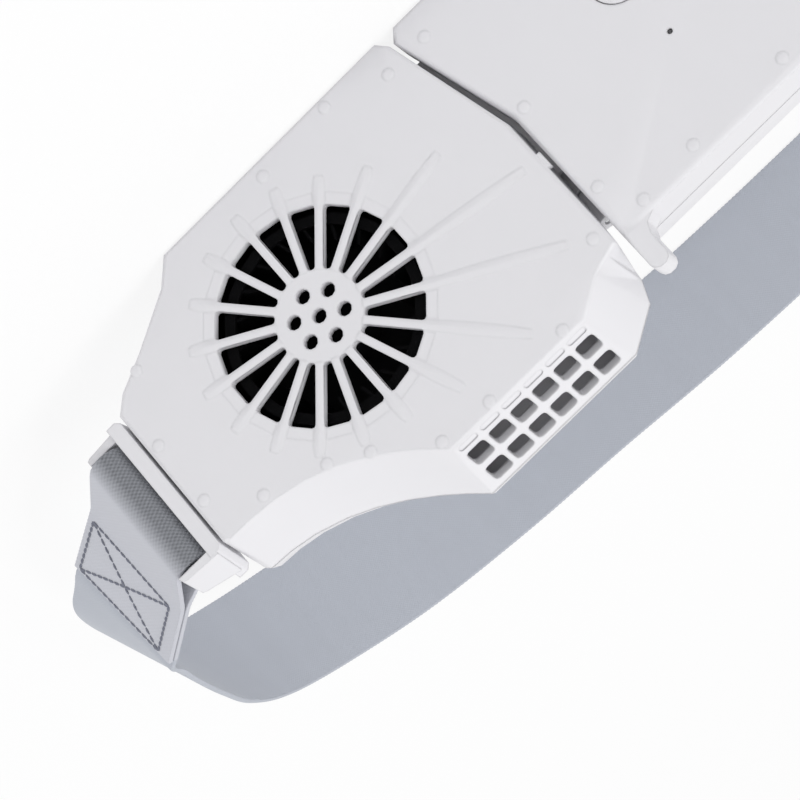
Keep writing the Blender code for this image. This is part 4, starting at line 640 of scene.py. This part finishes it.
def painted_light_above(material, colour, low, high):
    """Turn the material's colour to a paler one, from one height to another, as painted light."""
    tree = material.node_tree
    shader = tree.nodes["Principled BSDF"]
    place = place_on_object(tree)
    split = tree.nodes.new("ShaderNodeSeparateXYZ")
    tree.links.new(place, split.inputs[0])
    height = ranged(tree, split.outputs[2], 0.0, 1.0, start=low, end=high)
    before = shader.inputs["Base Color"].links[0].from_socket
    tree.links.new(mixed(tree, height, before, colour), shader.inputs["Base Color"])


def weave_colour(tree, level, colour, contrast):
    """The webbing's colour, with painted shade in the weave's hollows and a painted highlight on its
    threads.
    """
    darker = tuple(c * (1 - contrast) for c in colour)
    lighter = tuple(c * (1 + contrast * LIGHTENING_SHARE) for c in colour)
    return mixed(tree, level, darker, lighter)


def woven(name, pitch, straight, shaded_in_turn):
    """Webbing from its strip coordinates: warp ribs crossed by weft ridges, coarser round a bar.

    Webbing that lies straight or turns round a bar has its own colour, contrast and depth of weave; the
    darker colour round a bar is painted shade.
    """
    material, tree, shader = empty_material(name)
    coordinates = tree.nodes.new("ShaderNodeUVMap")
    coordinates.uv_map = "weave"
    split = tree.nodes.new("ShaderNodeSeparateXYZ")
    tree.links.new(coordinates.outputs["UV"], split.inputs[0])
    along, across = split.outputs[0], split.outputs[1]
    ribs = wave(tree, along, pitch)
    ridges = wave(tree, across, pitch * WEFT_SHARE)
    threads = ranged(tree, combined(tree, "MULTIPLY", ribs, ridges), 0.0, 1.0, start=-1.0)
    fuzz = shader_node(tree, "ShaderNodeTexNoise", Scale=FUZZ_SCALE, Detail=4.0)
    tree.links.new(place_on_object(tree), fuzz.inputs["Vector"])
    streaks = shader_node(tree, "ShaderNodeTexNoise", noise_dimensions="1D", Scale=STREAK_SCALE, Detail=2.0)
    tree.links.new(along, streaks.inputs["W"])
    fuzzed = combined(tree, "MULTIPLY", fuzz.outputs["Fac"], FUZZ_HEIGHT)
    streaked = combined(tree, "MULTIPLY", streaks.outputs["Fac"], STREAK_SHADE)
    height = combined(tree, "ADD", threads, fuzzed)
    shade = combined(tree, "ADD", height, streaked)
    # The level carries painted shade and highlight from the threads' height, and random tone from fuzz and
    # streaks
    level = ranged(tree, shade, 0.0, 1.0, start=SHADE_LOW, end=SHADE_HIGH)
    # Painted shade round the bar: this mask darkens the colour and deepens the weave towards the middle of
    # the turn
    distance = combined(tree, "ABSOLUTE", combined(tree, "SUBTRACT", along, ROLL_SHADE_MIDDLE))
    turn_shade_and_coarseness = ranged(tree, distance, 1.0, 0.0, start=ROLL_SHADE_HALF, end=ROLL_SHADE_END)
    colours = []
    depths = []
    for colour, contrast, depth in (straight, shaded_in_turn):
        colours.append(weave_colour(tree, level, colour, contrast))
        depths.append(depth)
    tree.links.new(mixed(tree, turn_shade_and_coarseness, *colours), shader.inputs["Base Color"])
    bump = shader_node(tree, "ShaderNodeBump", Distance=WEAVE_HEIGHT)
    tree.links.new(ranged(tree, turn_shade_and_coarseness, *depths), bump.inputs["Strength"])
    tree.links.new(height, bump.inputs["Height"])
    tree.links.new(bump.outputs["Normal"], shader.inputs["Normal"])
    shader.inputs["Roughness"].default_value = WEBBING_ROUGHNESS
    shader.inputs["Sheen Weight"].default_value = WEBBING_SHEEN
    return material


white = moulded("white shell", WHITE, roughness=0.42, edge=0.0010, grain=0.03, variation=0.012)
white_fine = moulded("white loop", WHITE, roughness=0.42, edge=0.0006, grain=0.03, variation=0.012)
button_white = moulded("button cap", BUTTON_WHITE, roughness=0.36, edge=0.0004, variation=0.01)
black = moulded("black rotor", ROTOR_BLACK, roughness=0.90, grain=0.05, variation=0.2, shine=0.1)
duct = moulded("dark duct", DUCT_BLACK, roughness=0.85, grain=0.08, variation=0.2, shine=0.1)
# Painted light: the duct turns pale grey above these heights, where it lies in shade behind the vents
painted_light_above(duct, PAINTED_LIGHT_GREY, *PAINTED_LIGHT_HEIGHTS)
buckle = moulded("buckle plastic", BUCKLE_GREY, roughness=0.45, edge=0.0005, grain=0.05, variation=0.04)
steel = moulded("steel", STEEL_GREY, roughness=0.28, metal=1.0)
winding = moulded("motor winding", COPPER, roughness=0.38, grain=0.3, metal=0.8, variation=0.15)
sleeve = moulded("cell sleeve", CELL_BLUE, roughness=0.30, grain=0.01)
board = moulded("circuit board", BOARD_GREEN, roughness=0.45, variation=0.1)
lens = moulded("lamp lens", LENS_GREY, roughness=0.30, grain=0.01)
lead = moulded("lead sleeve", LEAD_GREY, roughness=0.55, grain=0.05)
thread = moulded("thread", THREAD_GREY, roughness=0.80, grain=0.3, variation=0.15)
belt_weave = woven("belt webbing", BELT_WEAVE_PITCH, BELT_WEAVE, BELT_WEAVE)
loop_weave = woven("loop webbing", LOOP_WEAVE_PITCH, LOOP_WEAVE, LOOP_WEAVE_SHADED_IN_TURN)

# Word in a CAD node's name, its material, and the record's slot
NODE_LOOKS = (
    ("cover", white, "white_plastic"), ("shell", white, "white_plastic"),
    ("loop_frame", white_fine, "white_plastic"), ("power_button", button_white, "button_plastic"),
    ("impeller", black, "black_plastic"), ("switch", black, "black_plastic"),
    ("scroll", duct, "duct_plastic"), ("buckle", buckle, "buckle_plastic"),
    ("keeper", buckle, "buckle_plastic"),
    ("stator", winding, "winding"), ("cell", sleeve, "cell_sleeve"), ("board", board, "board"),
    ("lamp", lens, "lens"), ("lead", lead, "lead_sleeve"), ("", steel, "steel"),
)


def paint(piece, material):
    piece.data.materials.clear()
    piece.data.materials.append(material)


# Moulded and turned parts

def dress(name, solids=(), foremost=None):
    """A smoothly shaded piece that stands for a CAD node, with extra solids on it."""
    piece = new_piece(f"{name}_look", *merged([copy_of(name, foremost), *solids]))
    smooth(piece, SHELL_SHARP_ANGLE)
    material, slot = next(look[1:] for look in NODE_LOOKS if look[0] in name)
    paint(piece, material)
    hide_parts(name)
    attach(piece, frame["nodes"][name]["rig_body"])


fan_trim = [dome(place) for place in FAN_RIVETS]
fan_trim += [crest(math.radians(90 + i * 360 / SPOKES)) for i in range(SPOKES)]
fronts = {
    "right_fan_front_cover": fan_trim,
    "left_fan_front_cover": [flipped(solid) for solid in fan_trim],
    "centre_front_shell": [dome((side * x, z)) for side in (1, -1) for x, z in CENTRE_RIVETS],
}
for name in frame["nodes"]:
    if name in fronts:
        dress(name, fronts[name], FACE_Y)
    elif not name.startswith("belt"):
        dress(name)


# Straps and belt

def dress_webbing(piece, material, cad_node, bodies):
    """Webbing that stands for a CAD node and rides on one body, or rides on neither when it spans two."""
    paint(piece, material)
    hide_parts(cad_node)
    if len(bodies) == 2:
        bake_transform(piece)
    else:
        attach(piece, bodies[0])


def placed(points):
    """The belt's points, measured from the outer faces, as places in the frame."""
    return [(x, FACE_Y + y, z, lean) for x, y, z, lean in points]


# Right loop: a strap laid double, and the box stitched through both layers
right_way = (STRAP_TARGET - BAR_PLACE).normalized()
right_out = Vector((right_way.y, -right_way.x))
right_lengths = (STITCHED_LENGTH, STITCHED_LENGTH)
right_end = wrapped("right_loop_webbing", BAR_PLACE, right_way, BAR_RADIUS, right_lengths, ROLL_CLOSES,
                    lean=STITCHED_LEAN)
dress_webbing(right_end, loop_weave, "belt_right_end", ["right_loop"])

box_low, box_high = WEBBING_BOTTOM + BOX_ABOVE_BOTTOM, WEBBING_TOP - BOX_BELOW_TOP
corners = [(BOX_NEAR, box_low), (BOX_FAR, box_low), (BOX_FAR, box_high), (BOX_NEAR, box_high)]
seams = list(zip(corners, corners[1:] + corners[:1])) + [(corners[0], corners[2]), (corners[1], corners[3])]
strap_face = LAYER_OFFSET + WEBBING_THICKNESS / 2
stitches = []
for outward in (strap_face, -strap_face):
    for a, b in seams:
        stitches += stitch_line(a, b, BAR_PLACE, right_way, outward)
right_stitches = new_piece("right_stitching", *merged(stitches))
smooth(right_stitches, THREAD_SHARP_ANGLE)
paint(right_stitches, thread)
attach(right_stitches, "right_loop")

# Right side of the belt: two pieces that meet end to end, one along the side and one towards the back
leaving = BAR_PLACE + right_way * STITCHED_LENGTH - right_out * LAYER_OFFSET
ahead = leaving + right_way * SIDE_START
right_points = [(leaving.x, leaving.y, WEBBING_TOP, STITCHED_LEAN),
                (ahead.x, ahead.y, WEBBING_TOP, SIDE_START_LEAN)]
right_path = catmull(right_points + placed(RIGHT_BELT) + placed(REAR_BELT), STRIP_STEP)
cut_at = next(i for i, point in enumerate(right_path) if point[1] > BELT_SPLIT_Y)
near_piece = webbing("right_side_webbing", right_path[:cut_at + 1])
dress_webbing(near_piece, belt_weave, "belt_right_side", ["right_fan", "right_loop"])
far_piece = webbing("right_rear_webbing", right_path[cut_at:], first=length_of(right_path[:cut_at + 1]))
dress_webbing(far_piece, belt_weave, "belt_rear", ["centre", "right_fan"])

# Left loop and buckle: two straps that turn round a bar each and overlap halfway between
left_way = (SOCKET_BAR - BAR_PLACE).normalized()
strap_half = (SOCKET_BAR - BAR_PLACE).length / 2
overlap = strap_half + STRAP_OVERLAP
loop_lengths = (strap_half - LOOP_LAYER_STOPS, overlap)
buckle_lengths = (strap_half - BUCKLE_LAYER_STOPS, overlap)
loop_strap = wrapped("left_loop_webbing", BAR_PLACE, left_way, BAR_RADIUS, loop_lengths, ROLL_CLOSES,
                     side=-1.0)
buckle_strap = wrapped("left_buckle_webbing", SOCKET_BAR, -left_way, BUCKLE_BAR_RADIUS, buckle_lengths,
                       BUCKLE_ROLL_CLOSES, side=-1.0)
for strap in (loop_strap, buckle_strap):
    dress_webbing(strap, loop_weave, "belt_left_end", ["left_fan", "left_loop"])

# Left side of the belt: a strap laid double behind the buckle, then the belt to the middle of the back
doubled_length = ADJUSTER_END - PLUG_BAR.y
doubled_lengths = (doubled_length - ADJUSTER_LAYER_STOPS, doubled_length)
adjuster = wrapped("left_adjuster_webbing", PLUG_BAR, Vector((0, 1)), BUCKLE_BAR_RADIUS, doubled_lengths,
                   BUCKLE_ROLL_CLOSES, side=-1.0)
dress_webbing(adjuster, belt_weave, "belt_left_adjuster", ["left_fan"])

left_points = [(BUCKLE_OUT - LAYER_OFFSET, ADJUSTER_END, WEBBING_TOP, 0.0)]
left_path = catmull(left_points + placed(LEFT_BELT) + placed(REAR_BELT), STRIP_STEP)
left_first = length_of(right_path) - length_of(left_path)
left_piece = webbing("left_side_webbing", left_path, side=-1.0, first=left_first)
dress_webbing(left_piece, belt_weave, "belt_left_side", ["centre", "left_fan"])


# Floor, light and camera

def shown_directly(tree):
    """One for rays that come from the camera, a mirror or clear material, and zero for light."""
    rays = tree.nodes.new("ShaderNodeLightPath")
    mirrored = combined(tree, "MAXIMUM", rays.outputs["Is Glossy Ray"], rays.outputs["Is Transmission Ray"])
    return combined(tree, "MAXIMUM", rays.outputs["Is Camera Ray"], mirrored)


def studio_white(name):
    """A pale floor that is lifted to white where it is seen, and still takes the object's shadow."""
    material, tree, shader = empty_material(name)
    clouds = shader_node(tree, "ShaderNodeTexNoise", Scale=FLOOR_CLOUD_SCALE, Detail=1.0)
    tree.links.new(mixed(tree, clouds.outputs["Fac"], *FLOOR_COLOURS), shader.inputs["Base Color"])
    shader.inputs["Roughness"].default_value = FLOOR_ROUGHNESS
    glow = shader_node(tree, "ShaderNodeEmission", Strength=1.0)
    seen = tree.nodes.new("ShaderNodeMixShader")
    tree.links.new(combined(tree, "MULTIPLY", shown_directly(tree), FLOOR_LIFT), seen.inputs[0])
    tree.links.new(shader.outputs[0], seen.inputs[1])
    tree.links.new(glow.outputs[0], seen.inputs[2])
    tree.links.new(seen.outputs[0], tree.nodes["Material Output"].inputs["Surface"])
    return material


def area_light(name, place, target, width, power):
    """A square lamp at a place, turned to its target."""
    lamp = bpy.data.lights.new(name, "AREA")
    lamp.shape = "SQUARE"
    lamp.size = width
    lamp.energy = power
    holder = bpy.data.objects.new(name, lamp)
    bpy.context.scene.collection.objects.link(holder)
    holder.location = place
    holder.rotation_euler = (Vector(target) - Vector(place)).to_track_quat("-Z", "Y").to_euler()


floor_signs = ((-1, -1), (1, -1), (1, 1), (-1, 1))
floor_corners = [(x * FLOOR_HALF, y * FLOOR_HALF, FLOOR_HEIGHT) for x, y in floor_signs]
floor = new_piece("floor", floor_corners, [(0, 1, 2, 3)])
paint(floor, studio_white("studio floor"))

for lamp_values in LAMPS:
    area_light(*lamp_values)

world = bpy.data.worlds.new("studio")
bpy.context.scene.world = world
world.use_nodes = True
backdrop = world.node_tree.nodes["Background"]
strength = ranged(world.node_tree, shown_directly(world.node_tree), WORLD_STRENGTH, 1.0)
world.node_tree.links.new(strength, backdrop.inputs["Strength"])
backdrop.inputs["Color"].default_value = (1.0, 1.0, 1.0, 1.0)

yaw, pitch, roll = (math.radians(a) for a in (CAMERA_YAW, CAMERA_PITCH, CAMERA_ROLL))
forward = Vector((math.sin(yaw) * math.cos(pitch), math.cos(yaw) * math.cos(pitch), math.sin(pitch)))
level_right = Vector((math.cos(yaw), -math.sin(yaw), 0))
level_up = level_right.cross(forward)
right = level_right * math.cos(roll) + level_up * math.sin(roll)
up = level_up * math.cos(roll) - level_right * math.sin(roll)
camera = bpy.data.objects.new("camera", bpy.data.cameras.new("camera"))
bpy.context.scene.collection.objects.link(camera)
camera.data.sensor_width = CAMERA_SENSOR
camera.data.lens = CAMERA_LENS
axes = Matrix((right, up, -forward)).transposed().to_4x4()
camera.matrix_world = Matrix.Translation(CAMERA_PLACE) @ axes
bpy.context.scene.camera = camera
bpy.context.scene.view_settings.view_transform = "Standard"
